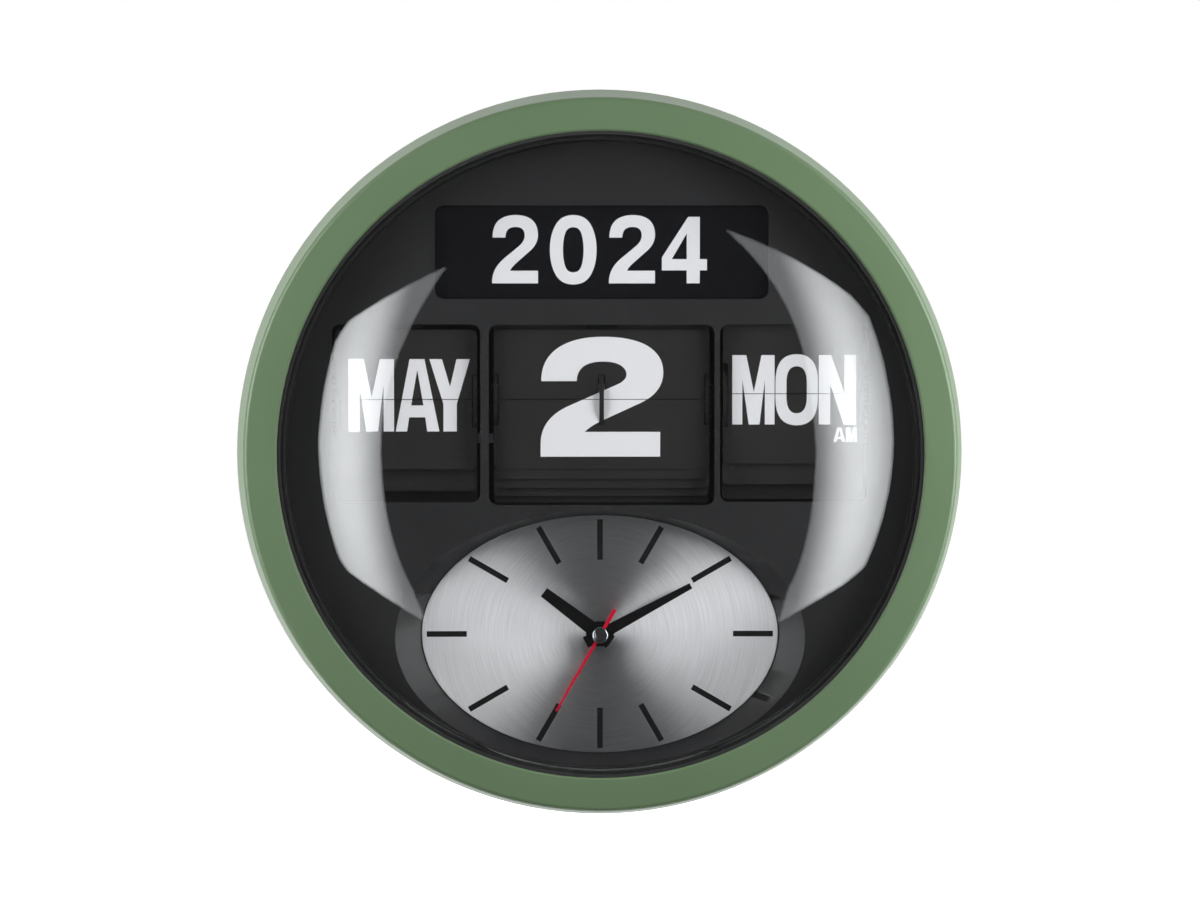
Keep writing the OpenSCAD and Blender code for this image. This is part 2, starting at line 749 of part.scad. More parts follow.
module frame_plate(x) translate([x - plate_t / 2, 0, 0]) along_x(plate_t) plate_outline();

module frame_tab(x, up, side) difference() {
    translate([side > 0 ? x - plate_t / 2 : x + plate_t / 2 - tab_size[0], up - tab_size[1] / 2,
        frame_front - plate_t]) cube([tab_size[0], tab_size[1], plate_t]);
    translate([x + side * tab_hole_x, up, 0]) rod(screw_hole_r - 0.1, 0, 100);
}

module side_plate(x, side) {
    difference() {
        frame_plate(x);
        translate([x - 1, split_up, thumb_depth]) along_x(2)
            circle(thumb_shaft_r + running_play, $fn = small);
        if (side > 0) translate([x - 1, motor_up(), motor_depth()]) along_x(2)
            circle(motor_shaft_r + 0.3, $fn = small);
    }
    for (up = side_tabs) frame_tab(x, up, side);
}

module left_side_plate() color(steel) upright() side_plate(left_plate_x, -1);

module right_side_plate() color(steel) upright() side_plate(right_plate_x, 1);

module left_inner_plate() color(steel) upright() {
    frame_plate(left_inner_x);
    frame_tab(left_inner_x, tab_up, 1);
}

function carry_up() = split_up + carry_distance * cos(180 - carry_dir);
function carry_depth() = axle_depth + carry_distance * sin(180 - carry_dir);
function motor_up() = split_up + motor_distance * sin(motor_dir);
function motor_depth() = axle_depth + motor_distance * cos(motor_dir);

module right_inner_plate() color(steel) upright() {
    difference() {
        frame_plate(right_inner_x);
        translate([right_inner_x - 1, carry_up(), carry_depth()]) along_x(2)
            circle(carry_shaft_r + running_play, $fn = small);
    }
    frame_tab(right_inner_x, tab_up, 1);
}

module cross_rods() color(steel) upright() for (p = rods)
    translate([left_plate_x - plate_t, p[0], p[1]]) along_x(2 * outer_plate_x + 2 * plate_t)
        circle(rod_r, $fn = small);

module drum_axle() color(steel) upright()
    translate([left_plate_x - plate_t / 2 - 2, split_up, axle_depth])
        along_x(2 * outer_plate_x + plate_t + 4) circle(axle_r, $fn = round);

module axle_clips() color(steel) upright() for (s = [-1, 1])
    translate([s * (outer_plate_x + plate_t / 2 + clip_t / 2) - clip_t / 2, split_up, axle_depth])
        along_x(clip_t) difference() {
            circle(clip_r, $fn = round);
            circle(axle_r + 0.01, $fn = round);
        }

// Drums turn on the axle; their gears and ratchets are parts of them

module drum_flange(x, groove_side) translate([x, split_up, axle_depth]) difference() {
    along_x(flange_t) difference() {
        circle(flange_r, $fn = fine);
        for (a = [36 : 72 : 360]) rotate(a) translate([12.5, 0]) circle(3.6, $fn = small);
    }
    if (groove_side != 0) translate([groove_side > 0 ? flange_t - groove_depth : -1, 0, 0])
        along_x(groove_depth + 1) difference() {
            circle(pin_circle_r + groove_play, $fn = fine);
            circle(pin_circle_r - groove_play, $fn = fine);
        }
}

module drum_body(middle, width, hub_from, hub_to) {
    drum_flange(middle - width / 2, 1);
    drum_flange(middle + width / 2 - flange_t, -1);
    translate([hub_from, split_up, axle_depth]) along_x(hub_to - hub_from) circle(hub_r, $fn = round);
}

module drum_gear(x, teeth, size, thickness) translate([x, split_up, axle_depth])
    along_x(thickness) gear_outline(teeth, size);

module drum_neck(x) translate([x, split_up, axle_depth])
    along_x(drum_gear_gap + 2 * eps) circle(neck_r, $fn = round);

module drum_ratchet(x, teeth) translate([x, split_up, axle_depth])
    along_x(ratchet_t) ratchet_outline(teeth);

module drum_bore() translate([left_plate_x, split_up, axle_depth])
    along_x(2 * outer_plate_x) circle(bore_r, $fn = round);

month_left = month_x - side_leaf_w / 2;
month_right = month_x + side_leaf_w / 2;
date_left = date_x - date_leaf_w / 2;
date_right = date_x + date_leaf_w / 2;
weekday_left = weekday_x - side_leaf_w / 2;
weekday_right = weekday_x + side_leaf_w / 2;
thumb_gear_x = side_leaf_w / 2 + side_x + drum_gear_gap;

module month_drum() color(satin_black) upright() difference() {
    union() {
        drum_body(month_x, side_leaf_w, left_plate_x + plate_t / 2 + hub_end_play,
            left_inner_x - plate_t / 2 - hub_end_play);
        drum_gear(-thumb_gear_x - drum_gear_t, drum_teeth, drum_module, drum_gear_t);
        drum_neck(-thumb_gear_x - eps);
        drum_ratchet(month_right - eps, month_count);
    }
    drum_bore();
}

module date_drum() color(satin_black) upright() difference() {
    union() {
        drum_body(date_x, date_leaf_w, left_inner_x + plate_t / 2 + hub_end_play,
            right_inner_x - plate_t / 2 - hub_end_play);
        translate([date_x - mid_flange_t / 2, split_up, axle_depth])
            along_x(mid_flange_t) circle(flange_r, $fn = fine);
        drum_ratchet(date_left - ratchet_t + eps, date_count);
        drum_gear(date_right - eps, date_gear_teeth, date_module, carry_gap + carry_t);
    }
    drum_bore();
}

module weekday_drum() color(satin_black) upright() difference() {
    union() {
        drum_body(weekday_x, side_leaf_w, right_inner_x + plate_t / 2 + hub_end_play,
            right_plate_x - plate_t / 2 - hub_end_play);
        drum_gear(thumb_gear_x, drum_teeth, drum_module, drum_gear_t);
        drum_neck(thumb_gear_x - drum_gear_gap - eps);
        drum_gear(weekday_left - carry_gap - carry_t, carry_drive_teeth, carry_module,
            carry_gap + carry_t + eps);
    }
    drum_bore();
}

// Leaves

// Outline of a leaf, with its heel edge at the bottom. The notches clear the drum's flanges.
module leaf_outline(w, notch_h, mid_slot) difference() {
    union() {
        translate([-w / 2, seam_play]) square([w, leaf_h - leaf_corner_r - seam_play]);
        translate([-w / 2 + leaf_corner_r, seam_play])
            square([w - 2 * leaf_corner_r, leaf_h - seam_play]);
        for (s = [-1, 1]) translate([s * (w / 2 - leaf_corner_r), leaf_h - leaf_corner_r])
            circle(leaf_corner_r, $fn = round);
    }
    for (s = [-1, 1]) translate([s * (w / 2 - notch_w / 2 + 1), notch_h / 2 - 1])
        square([notch_w + 2, notch_h + 2], center = true);
    if (mid_slot) translate([0, notch_h / 2 - 1]) square([mid_flange_t + 0.8, notch_h + 2], center = true);
}

// A leaf hung on its pins: the pins' line is the origin and the heel reaches below it
module leaf(w, heel, notch_h, mid_slot = false) {
    translate([0, -heel, -leaf_t]) linear_extrude(leaf_t) leaf_outline(w, notch_h, mid_slot);
    for (s = [-1, 1]) translate([s > 0 ? w / 2 - notch_w - pin_root : -w / 2 + flange_t - pin_reach, 0, 0])
        along_x(pin_reach + notch_w - flange_t + pin_root) circle(pin_r, $fn = small);
}

// Half the spacing of the pins, measured up the circle at its front
function heel_of(count) = pin_circle_r * sin(180 / count);

// Height of the notch of a leaf that hangs at its own pin's place
function notch_of(count) =
    sqrt(flange_r * flange_r - pow(pin_circle_r * cos(180 / count) - leaf_t, 2)) + notch_play;

// Height of the notch of an upper leaf, which clears the flanges standing and fallen
function upper_notch(lift) =
    sqrt(pow(flange_r, 2) - pow(pin_circle_r - leaf_t, 2)) + lift + notch_play;

// Turn of a leaf whose pin stands at the given angle on the drum, 0 at the front and 90 on top:
// leaves on the front top stand up, those past the top lean back and those behind hang
function leaf_turn(a) = a <= 90 ? 0 : a < 150 ? -0.4 * (a - 90) : a < 186 ? -180 + (186 - a) : -180;

module hung_leaf(a, w, heel, notch_h, mid_slot)
    translate([0, pin_circle_r * sin(a), pin_circle_r * cos(a)])
        if (a < 186) rotate([leaf_turn(a), 0, 0]) leaf_side(a) leaf(w, heel, notch_h, mid_slot);
        else mirror([0, 1, 0]) leaf(w, heel, notch_h, mid_slot);

// Keeps a leaf's plate on the outer side of its pins once it has turned past the top
module leaf_side(a) if (a >= 150) mirror([0, 0, 1]) children();
    else children();

module placed(x, lift = 0) translate([x, split_up + lift, leaf_front]) children();

module lower_leaf(x, w, count, phase, lift, mid_slot = false) translate([x, split_up, axle_depth])
    hung_leaf(360 - 180 / count + phase, w, heel_of(count), notch_of(count) + lift, mid_slot);

module leaf_stack(x, w, count, phase, lift, mid_slot = false) {
    // The next leaf stands right behind the displayed one
    next_up = sqrt(pow(pin_circle_r, 2) - pow(pin_circle_r - next_set, 2));
    notch_h = notch_of(count) + stack_notch_play;
    placed(x) translate([0, next_up, -next_set]) leaf(w, next_up - lift, notch_h, mid_slot);
    translate([x, split_up, axle_depth]) for (i = [2 : count - 2])
        hung_leaf(360 * (i + 0.5) / count + phase, w, heel_of(count), notch_h, mid_slot);
}

weekday_phase = asin(weekday_lift / pin_circle_r);

module month_upper_leaf() color(leaf_black) upright() placed(month_x)
    leaf(side_leaf_w, 0, upper_notch(0));

module date_upper_leaf() color(leaf_black) upright() placed(date_x)
    leaf(date_leaf_w, 0, upper_notch(0), true);

module weekday_upper_leaf() color(leaf_black) upright() placed(weekday_x, weekday_lift)
    leaf(side_leaf_w, 0, upper_notch(weekday_lift));

module month_lower_leaf() color(leaf_black) upright() lower_leaf(month_x, side_leaf_w, month_count, 0, 0);

module date_lower_leaf() color(leaf_black) upright() lower_leaf(date_x, date_leaf_w, date_count, 0, 0, true);

module weekday_lower_leaf() color(leaf_black) upright()
    lower_leaf(weekday_x, side_leaf_w, weekday_count, weekday_phase, weekday_lift);

module month_leaf_stack() color(leaf_black) upright() leaf_stack(month_x, side_leaf_w, month_count, 0, 0);

module date_leaf_stack() color(leaf_black) upright() leaf_stack(date_x, date_leaf_w, date_count, 0, 0, true);

module weekday_leaf_stack() color(leaf_black) upright()
    leaf_stack(weekday_x, side_leaf_w, weekday_count, weekday_phase, weekday_lift);

// Each catch is a strip fixed behind the face plate, with its end just over the leaf's edge
module leaf_catches() color(satin_black) upright() {
    for (u = [[month_x, 0], [date_x, 0], [weekday_x, weekday_lift]]) {
        low = split_up + u[1] + leaf_h + catch_gap;
        translate([u[0] - catch_w / 2, low, rim_back - catch_t]) cube([catch_w, pad_up[1] - low, catch_t]);
    }
}

module detent(x, reach) {
    translate([x, split_up - ratchet_r - 0.2 - detent_t, axle_depth - detent_len / 2])
        cube([detent_w, detent_t, detent_len]);
    anchor_up = split_up - ratchet_r - 0.2 - anchor_size;
    translate([min(x, x + reach), anchor_up, axle_depth + detent_len / 2 - eps])
        cube([abs(reach) + (reach < 0 ? detent_w : 0), anchor_size, anchor_size]);
}

module detent_springs() color(steel) upright() {
    detent(month_right + 0.2, left_inner_x - plate_t / 2 - month_right - 0.2);
    detent(date_left - 0.2 - detent_w, left_inner_x + plate_t / 2 - date_left + 0.2 + detent_w);
}

// Thumbwheels, motor and carry wheel

module thumbwheel(side) {
    gear_from = thumb_gear_x;
    hub_to = thumb_x() + thumb_w / 2;
    turn = mesh_turn(-90, drum_teeth, thumb_teeth);
    translate([0, split_up, thumb_depth]) mirror([side > 0 ? 0 : 1, 0, 0]) {
        translate([gear_from, 0, 0]) along_x(drum_gear_t) rotate(turn) gear_outline(thumb_teeth, drum_module);
        translate([gear_from, 0, 0]) along_x(hub_to - gear_from) circle(thumb_shaft_r, $fn = small);
        translate([thumb_x() - thumb_w / 2, 0, 0]) along_x(thumb_w) difference() {
            circle(thumb_r, $fn = round * 2);
            for (a = [0 : 12 : 348]) rotate(a) translate([thumb_r + 0.5, 0]) circle(1, $fn = small);
        }
    }
}

module month_thumbwheel() color(satin_black) upright() thumbwheel(-1);

module weekday_thumbwheel() color(satin_black) upright() thumbwheel(1);

module calendar_motor() color(steel) upright()
    translate([right_plate_x + plate_t / 2, motor_up(), motor_depth()])
        along_x(motor_len) circle(motor_r, $fn = round);

module motor_pinion() color(brass) upright()
    translate([thumb_gear_x, motor_up(), motor_depth()]) {
        along_x(drum_gear_t) rotate(mesh_turn(90 - motor_dir, drum_teeth, motor_teeth))
            gear_outline(motor_teeth, drum_module);
        along_x(right_plate_x + plate_t / 2 - thumb_gear_x - 0.1) circle(motor_shaft_r, $fn = small);
    }

module carry_wheel() color(satin_black) upright() {
    pinion_from = date_right + carry_gap;
    wheel_to = weekday_left - carry_gap;
    dir = 180 - carry_dir;
    translate([0, carry_up(), carry_depth()]) {
        translate([pinion_from, 0, 0]) along_x(carry_t)
            rotate(mesh_turn(dir, date_gear_teeth, carry_pinion_teeth))
            gear_outline(carry_pinion_teeth, date_module);
        translate([wheel_to - carry_t, 0, 0]) along_x(carry_t)
            rotate(mesh_turn(dir, carry_drive_teeth, carry_wheel_teeth))
            gear_outline(carry_wheel_teeth, carry_module);
        translate([pinion_from, 0, 0]) along_x(wheel_to - pinion_from) circle(carry_shaft_r, $fn = small);
    }
}

// Movement: everything below is drawn around the hands' axis

module at_dial() upright() translate([0, dial_up, 0]) children();

module movement_case() color("#1F2021") at_dial() {
    gear_h = movement_top + movement_bottom;
    gear_mid = (movement_top - movement_bottom) / 2;
    bay_mid = bay_up - dial_up;
    difference() {
        union() {
            translate([0, gear_mid, 0]) slab(movement_in_back, movement_front - movement_in_back)
                square([2 * movement_rx, gear_h], center = true);
            translate([0, bay_mid, 0]) slab(bay_back, movement_front - bay_back)
                square([2 * bay_rx, bay_h], center = true);
            rod(bush_r, movement_front - eps, bush_end);
        }
        translate([0, gear_mid, 0]) slab(movement_in_back - 1, movement_in_front - movement_in_back + 1)
            square([2 * (movement_rx - movement_wall), gear_h - 2 * movement_wall], center = true);
        translate([0, bay_mid, 0]) slab(bay_back - 1, movement_in_front - bay_back + 1)
            square([2 * (bay_rx - movement_wall), bay_h - 2 * movement_wall], center = true);
        rod(hour_tube_r + running_play, movement_in_front - 1, bush_end + 1);
    }
    // Stud of the minute wheel and posts of the circuit board
    translate(minute_pos) rod(0.6, minute_wheel_back - 0.4, movement_in_front + 1);
    for (p = board_posts) translate(p) rod(1.2, board_back + board_t, movement_in_front + 0.5);
}

module movement_cover() color("#1F2021") at_dial() difference() {
    union() {
        translate([0, (movement_top - movement_bottom) / 2, 0]) slab(movement_back, movement_wall)
            square([2 * movement_rx, movement_top + movement_bottom], center = true);
        translate(third_pos) rod(1.4, movement_back, movement_in_back + 0.4);
        translate(rotor_pos) rod(1.4, movement_back, movement_in_back + 0.4);
    }
    translate(set_pos) rod(knob_shaft_r + running_play, movement_back - 1, movement_in_back + 1);
    for (p = [third_pos, rotor_pos]) translate(p) rod(0.5 + running_play, movement_back + 0.5, 50);
    rod(second_arbor_r + running_play, movement_back + 0.5, 50);
}

module train_gear(teeth, distance, partner, thickness, turn) linear_extrude(thickness) rotate(turn)
    gear_outline(teeth, 2 * distance / (teeth + partner), 0.03);

module second_wheel() color(brass) at_dial() {
    translate([0, 0, second_wheel_back]) train_gear(second_teeth, train_distance, rotor_teeth, wheel_t, 0);
    translate([0, 0, second_wheel_back + wheel_t - eps])
        train_gear(second_pinion_teeth, train_distance, third_teeth, 2.2, 0);
    rod(second_arbor_r, movement_back + 0.7, second_hand_back + second_hand_t);
}

module third_wheel() color(brass) at_dial() translate(third_pos) {
    translate([0, 0, third_wheel_back]) train_gear(third_teeth, train_distance, second_pinion_teeth, wheel_t,
        mesh_turn(third_dir, second_pinion_teeth, third_teeth));
    translate([0, 0, third_wheel_back + wheel_t - eps])
        train_gear(third_pinion_teeth, train_distance, centre_teeth, centre_wheel_back + wheel_t
            - third_wheel_back - wheel_t + 0.2, mesh_turn(third_dir, centre_teeth, third_pinion_teeth));
    rod(0.5, movement_back + 0.7, centre_wheel_back + wheel_t + 1);
}

module rotor() color("#6A6D72") at_dial() translate(rotor_pos) {
    translate([0, 0, second_wheel_back]) train_gear(rotor_teeth, train_distance, second_teeth, wheel_t + 0.4,
        mesh_turn(rotor_dir, second_teeth, rotor_teeth));
    translate([0, 0, stator_depth + stator_t / 2 - rotor_len / 2])
        cylinder(r = rotor_r, h = rotor_len, $fn = round);
    rod(0.5, movement_back + 0.7, stator_depth + 3);
}

module centre_wheel() color(brass) at_dial() difference() {
    union() {
        translate([0, 0, centre_wheel_back])
            train_gear(centre_teeth, train_distance, third_pinion_teeth, wheel_t, 0);
        translate([0, 0, centre_wheel_back + wheel_t - eps])
            train_gear(cannon_teeth, motion_distance, minute_teeth, 3.2, 0);
        rod(minute_tube_r, centre_wheel_back, minute_hand_back + hand_t);
    }
    rod(second_arbor_r + running_play, 0, 100);
}

module minute_wheel() color(brass) at_dial() translate(minute_pos) difference() {
    union() {
        translate([0, 0, minute_wheel_back])
            train_gear(minute_teeth, motion_distance, cannon_teeth, minute_wheel_t,
                mesh_turn(minute_dir, cannon_teeth, minute_teeth));
        translate([0, 0, minute_wheel_back + minute_wheel_t - eps])
            train_gear(minute_pinion_teeth, motion_distance, hour_teeth, 2.6,
                mesh_turn(minute_dir, hour_teeth, minute_pinion_teeth));
    }
    rod(0.6 + running_play, 0, 100);
}

module hour_wheel() color(brass) at_dial() difference() {
    union() {
        translate([0, 0, hour_wheel_back])
            train_gear(hour_teeth, motion_distance, minute_pinion_teeth, hour_wheel_t, 0);
        rod(hour_tube_r, hour_wheel_back, hour_hand_back + hand_t);
    }
    rod(minute_tube_r + running_play, 0, 100);
}

module set_knob() color(plastic_grey) at_dial() translate(set_pos) {
    translate([0, 0, minute_wheel_back]) train_gear(set_teeth, motion_distance, minute_teeth, minute_wheel_t,
        mesh_turn(set_dir, minute_teeth, set_teeth, mesh_turn(minute_dir, cannon_teeth, minute_teeth)));
    rod(knob_shaft_r, knob_back + knob_len - 1, minute_wheel_back + 0.2);
    translate([0, 0, knob_back]) linear_extrude(knob_len) difference() {
        circle(knob_r, $fn = round);
        for (a = [0 : 20 : 340]) rotate(a) translate([knob_r + 0.4, 0]) circle(0.9, $fn = small);
    }
}

module coil() color("#A8572C") at_dial() translate([coil_x[0], coil_up, stator_depth + stator_t / 2])
    along_x(coil_x[1] - coil_x[0]) difference() {
        circle(coil_r, $fn = round);
        square([2, stator_t + 0.2], center = true);
    }

module stator() color("#8B8F94") at_dial() slab(stator_depth, stator_t) difference() {
    translate([-27, coil_up - 0.8]) square([23.8, 18.4]);
    translate([-24.8, coil_up + 0.8]) square([15.4, 7.8]);
    translate([-24.8, coil_up - 2]) square([0.6, 1.4]);
    translate(rotor_pos) circle(rotor_r + 0.4, $fn = round);
}

module circuit_board() color("#2C5E3B") at_dial() translate([board_x, board_up, board_back])
    cube([board_w, board_h, board_t]);

module fixing_nut() color(satin_black) at_dial()
    translate([0, 0, dial_front]) linear_extrude(nut_t) difference() {
    circle(nut_r, $fn = 6);
    circle(bush_r + 0.02, $fn = round);
}

// Hands are drawn pointing up and then turned clockwise

module hand_blade(len, tail, tip_w, root_w, tail_w) polygon([[tip_w / 2, len], [-tip_w / 2, len],
    [-root_w / 2, 0], [-tail_w / 2, -tail], [tail_w / 2, -tail], [root_w / 2, 0]]);

module hour_hand() color(satin_black) at_dial() slab(hour_hand_back, hand_t) difference() {
    rotate(-hour_angle) union() {
        hand_blade(hour_len, 5.8, 4.6, 6.4, 6.4);
        circle(4.4, $fn = round);
    }
    circle(hour_tube_r + 0.01, $fn = round);
}

module minute_hand() color(satin_black) at_dial() slab(minute_hand_back, hand_t) difference() {
    rotate(-minute_angle) union() {
        hand_blade(minute_len, 7.3, 2.6, 5.2, 5.2);
        circle(3.8, $fn = round);
    }
    circle(minute_tube_r + 0.01, $fn = round);
}

module second_hand() color("#C80028") at_dial() slab(second_hand_back, second_hand_t) difference() {
    rotate(-second_angle) union() {
        hand_blade(second_len, 13, 0.9, 1.4, 1.7);
        circle(2.2, $fn = round);
    }
    circle(second_arbor_r + 0.01, $fn = round);
}

module centre_cap() color(steel) at_dial()
    translate([0, 0, second_hand_back + second_hand_t]) cylinder(r = cap_r, h = cap_t, $fn = round);

// Battery

module battery_cell() color("#3C4A5A") upright() translate([0, bay_up, cell_depth]) {
    translate([-cell_len / 2, 0, 0]) along_x(cell_len) circle(cell_r, $fn = round * 2);
    translate([cell_len / 2 - eps, 0, 0]) along_x(1.5) circle(4.5, $fn = round);
}

module battery_contacts() color(steel) upright() translate([0, bay_up, cell_depth]) {
    wall = bay_rx - movement_wall;
    for (x = [wall - contact_t, -wall]) translate([x, -contact_size / 2, -contact_size / 2])
        cube([contact_t, contact_size, contact_size]);
    translate([-wall + contact_t - eps, 0, 0])
        along_x(wall - contact_t - cell_len / 2 - 0.2) circle(5, $fn = round);
    translate([cell_len / 2 + 1.7, 0, 0])
        along_x(wall - contact_t - cell_len / 2 - 1.7 + eps) circle(5, $fn = round);
}

bezel();
rear_case();
dome_lens();
lens_gasket();
lens_retainer();
retainer_screws();
case_screws();
battery_door();
hanger_plate();
hanger_screws();
face_plate();
plate_screws();
dial_plate();
year_card();
card_holder();
left_side_plate();
left_inner_plate();
right_inner_plate();
right_side_plate();
cross_rods();
drum_axle();
axle_clips();
month_drum();
date_drum();
weekday_drum();
month_upper_leaf();
date_upper_leaf();
weekday_upper_leaf();
month_lower_leaf();
date_lower_leaf();
weekday_lower_leaf();
month_leaf_stack();
date_leaf_stack();
weekday_leaf_stack();
leaf_catches();
detent_springs();
month_thumbwheel();
weekday_thumbwheel();
calendar_motor();
motor_pinion();
carry_wheel();
movement_case();
movement_cover();
centre_wheel();
minute_wheel();
hour_wheel();
second_wheel();
third_wheel();
rotor();
coil();
stator();
circuit_board();
fixing_nut();
set_knob();
hour_hand();
minute_hand();
second_hand();
centre_cap();
battery_cell();
battery_contacts();
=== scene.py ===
"""Looks of a round wall clock with a domed lens, a flip calendar and an oval dial."""

import json
import math

import bmesh
import bpy
from bpy.props import FloatProperty, FloatVectorProperty, PointerProperty
from mathutils import Matrix, Vector
from mathutils.geometry import intersect_line_plane, intersect_line_sphere

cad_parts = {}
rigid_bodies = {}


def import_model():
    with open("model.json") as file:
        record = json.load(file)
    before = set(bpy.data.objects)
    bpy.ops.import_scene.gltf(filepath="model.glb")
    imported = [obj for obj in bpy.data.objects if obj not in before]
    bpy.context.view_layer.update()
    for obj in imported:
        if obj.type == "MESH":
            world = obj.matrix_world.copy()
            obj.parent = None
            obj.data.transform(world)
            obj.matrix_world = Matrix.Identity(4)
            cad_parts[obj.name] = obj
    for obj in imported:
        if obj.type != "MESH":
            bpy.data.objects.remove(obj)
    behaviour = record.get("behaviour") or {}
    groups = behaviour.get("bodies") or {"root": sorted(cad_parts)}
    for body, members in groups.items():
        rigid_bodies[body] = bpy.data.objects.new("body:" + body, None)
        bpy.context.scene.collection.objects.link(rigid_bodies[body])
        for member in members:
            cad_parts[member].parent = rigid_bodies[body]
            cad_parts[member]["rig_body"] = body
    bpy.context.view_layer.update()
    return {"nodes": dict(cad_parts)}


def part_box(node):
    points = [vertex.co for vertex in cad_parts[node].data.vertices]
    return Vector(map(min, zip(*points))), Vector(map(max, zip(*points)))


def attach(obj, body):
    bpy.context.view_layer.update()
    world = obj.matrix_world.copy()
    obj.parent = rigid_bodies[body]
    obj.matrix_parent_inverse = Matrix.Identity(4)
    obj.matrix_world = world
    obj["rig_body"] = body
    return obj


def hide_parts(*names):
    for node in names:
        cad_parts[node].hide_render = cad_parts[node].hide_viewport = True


bl_info = {
    "name": "Flip wall clock",
    "version": (1, 0, 0),
    "blender": (4, 5, 0),
    "location": "3D View > Sidebar > Clock",
    "description": "Builds the finishes, prints and studio of a flip wall clock",
    "category": "Object",
}

MM = 0.001
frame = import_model()


def middle(node):
    """Middle of a CAD node's box, in metres."""
    low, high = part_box(node)
    return (low + high) / 2


def front(node):
    """Depth of a CAD node's front, in millimetres from the wall."""
    return -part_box(node)[0].y / MM


# A leaf, in mm: the radius of its pins, how far its edge stops short of the seam, its
# thickness, and how far behind its face the next leaf lies
PIN, PLAY, LEAF_THICKNESS, NEXT_LEAF = 0.4, 0.15, 0.4, 0.9
# Softened edges of leaves, their catches and the black hands, which are all thin, in mm
THIN_EDGE = 0.12

# The dome is part of a ball. In mm: its radius where it meets the flange, its rise above
# that, its wall, and the flange's thickness
DOME_RADIUS, DOME_RISE, DOME_WALL, FLANGE = 139.7, 49.0, 2.4, 2.0
BALL = (DOME_RADIUS * DOME_RADIUS + DOME_RISE * DOME_RISE) / (2 * DOME_RISE)
BALL_DEPTH = front("dome_lens") - BALL

# Points of a mesh closer than this are one, in mm
WELD = 0.002
# Faces that meet at more than this have a sharp edge between them, in degrees
SHARP = 28
# Straight parts in each curve of an outline
CURVE_STEPS = 8
# Width and height of the picture, in pixels
PICTURE = 1200, 906

HANDS_AXIS = middle("centre_cap")
# The pins' axis lies in the leaf's face, so they stand out before it by their radius
LEAF_FRONT = front("month_upper_leaf") - PIN


# Colours and nodes


def linear(code):
    """Linear colour of an sRGB hex code."""
    parts = [int(code[i : i + 2], 16) / 255 for i in (1, 3, 5)]
    return tuple(
        c / 12.92 if c <= 0.04045 else ((c + 0.055) / 1.055) ** 2.4 for c in parts
    )


def add(tree, kind, values=None, **settings):
    """Adds a node. Settings are its own properties, and values fill or link its inputs."""
    node = tree.nodes.new(kind)
    for key, value in settings.items():
        setattr(node, key, value)
    for key, value in (values or {}).items():
        if isinstance(value, bpy.types.NodeSocket):
            tree.links.new(value, node.inputs[key])
        else:
            node.inputs[key].default_value = value
    return node


def new_material(name):
    """An empty material and its node tree."""
    material = bpy.data.materials.new(name)
    material.use_nodes = True
    material.node_tree.nodes.clear()
    return material, material.node_tree


def show(tree, shader):
    """Links a shader to the material's output."""
    add(tree, "ShaderNodeOutputMaterial", {"Surface": shader})


def position(tree):
    """The surface point in the clock's own frame, in millimetres."""
    at = add(tree, "ShaderNodeTexCoord")
    return add(
        tree,
        "ShaderNodeVectorMath",
        {0: at.outputs["Object"], "Scale": 1 / MM},
        operation="SCALE",
    ).outputs[0]


def shades(tree, source, colour, low, high):
    """Mixes a colour between two shares of itself."""
    dark, bright = ((*[c * share for c in colour], 1) for share in (low, high))
    return add(
        tree,
        "ShaderNodeMix",
        {"Factor": source, 6: dark, 7: bright},
        data_type="RGBA",
    ).outputs[2]


# Finishes


def moulded_plastic(name, colour, roughness=0.45, grain=0.35, depth=0.03, patchy=0.06):
    """Moulded ABS: fine even grain from the spark-eroded tool, with a soft sheen that
    changes a little over a few centimetres."""
    material, tree = new_material(name)
    at = position(tree)
    fine = add(
        tree,
        "ShaderNodeTexNoise",
        {"Vector": at, "Scale": 1 / grain, "Detail": 2.0, "Roughness": 0.6},
    )
    broad = add(
        tree, "ShaderNodeTexNoise", {"Vector": at, "Scale": 1 / 45, "Detail": 2.0}
    )
    tone = add(
        tree,
        "ShaderNodeMath",
        {0: fine.outputs["Fac"], 1: broad.outputs["Fac"]},
        operation="MULTIPLY",
    )
    dull = add(
        tree,
        "ShaderNodeMapRange",
        {
            "Value": broad.outputs["Fac"],
            "To Min": roughness - 0.05,
            "To Max": roughness + 0.05,
        },
    )
    bump = add(
        tree,
        "ShaderNodeBump",
        {"Height": fine.outputs["Fac"], "Strength": 0.5, "Distance": depth * MM},
    )
    body = add(
        tree,
        "ShaderNodeBsdfPrincipled",
        {
            "Base Color": shades(
                tree, tone.outputs[0], colour, 1 - patchy, 1 + 2 * patchy
            ),
            "Roughness": dull.outputs[0],
            "Normal": bump.outputs[0],
            "IOR": 1.5,
        },
    )
    show(tree, body.outputs[0])
    return material


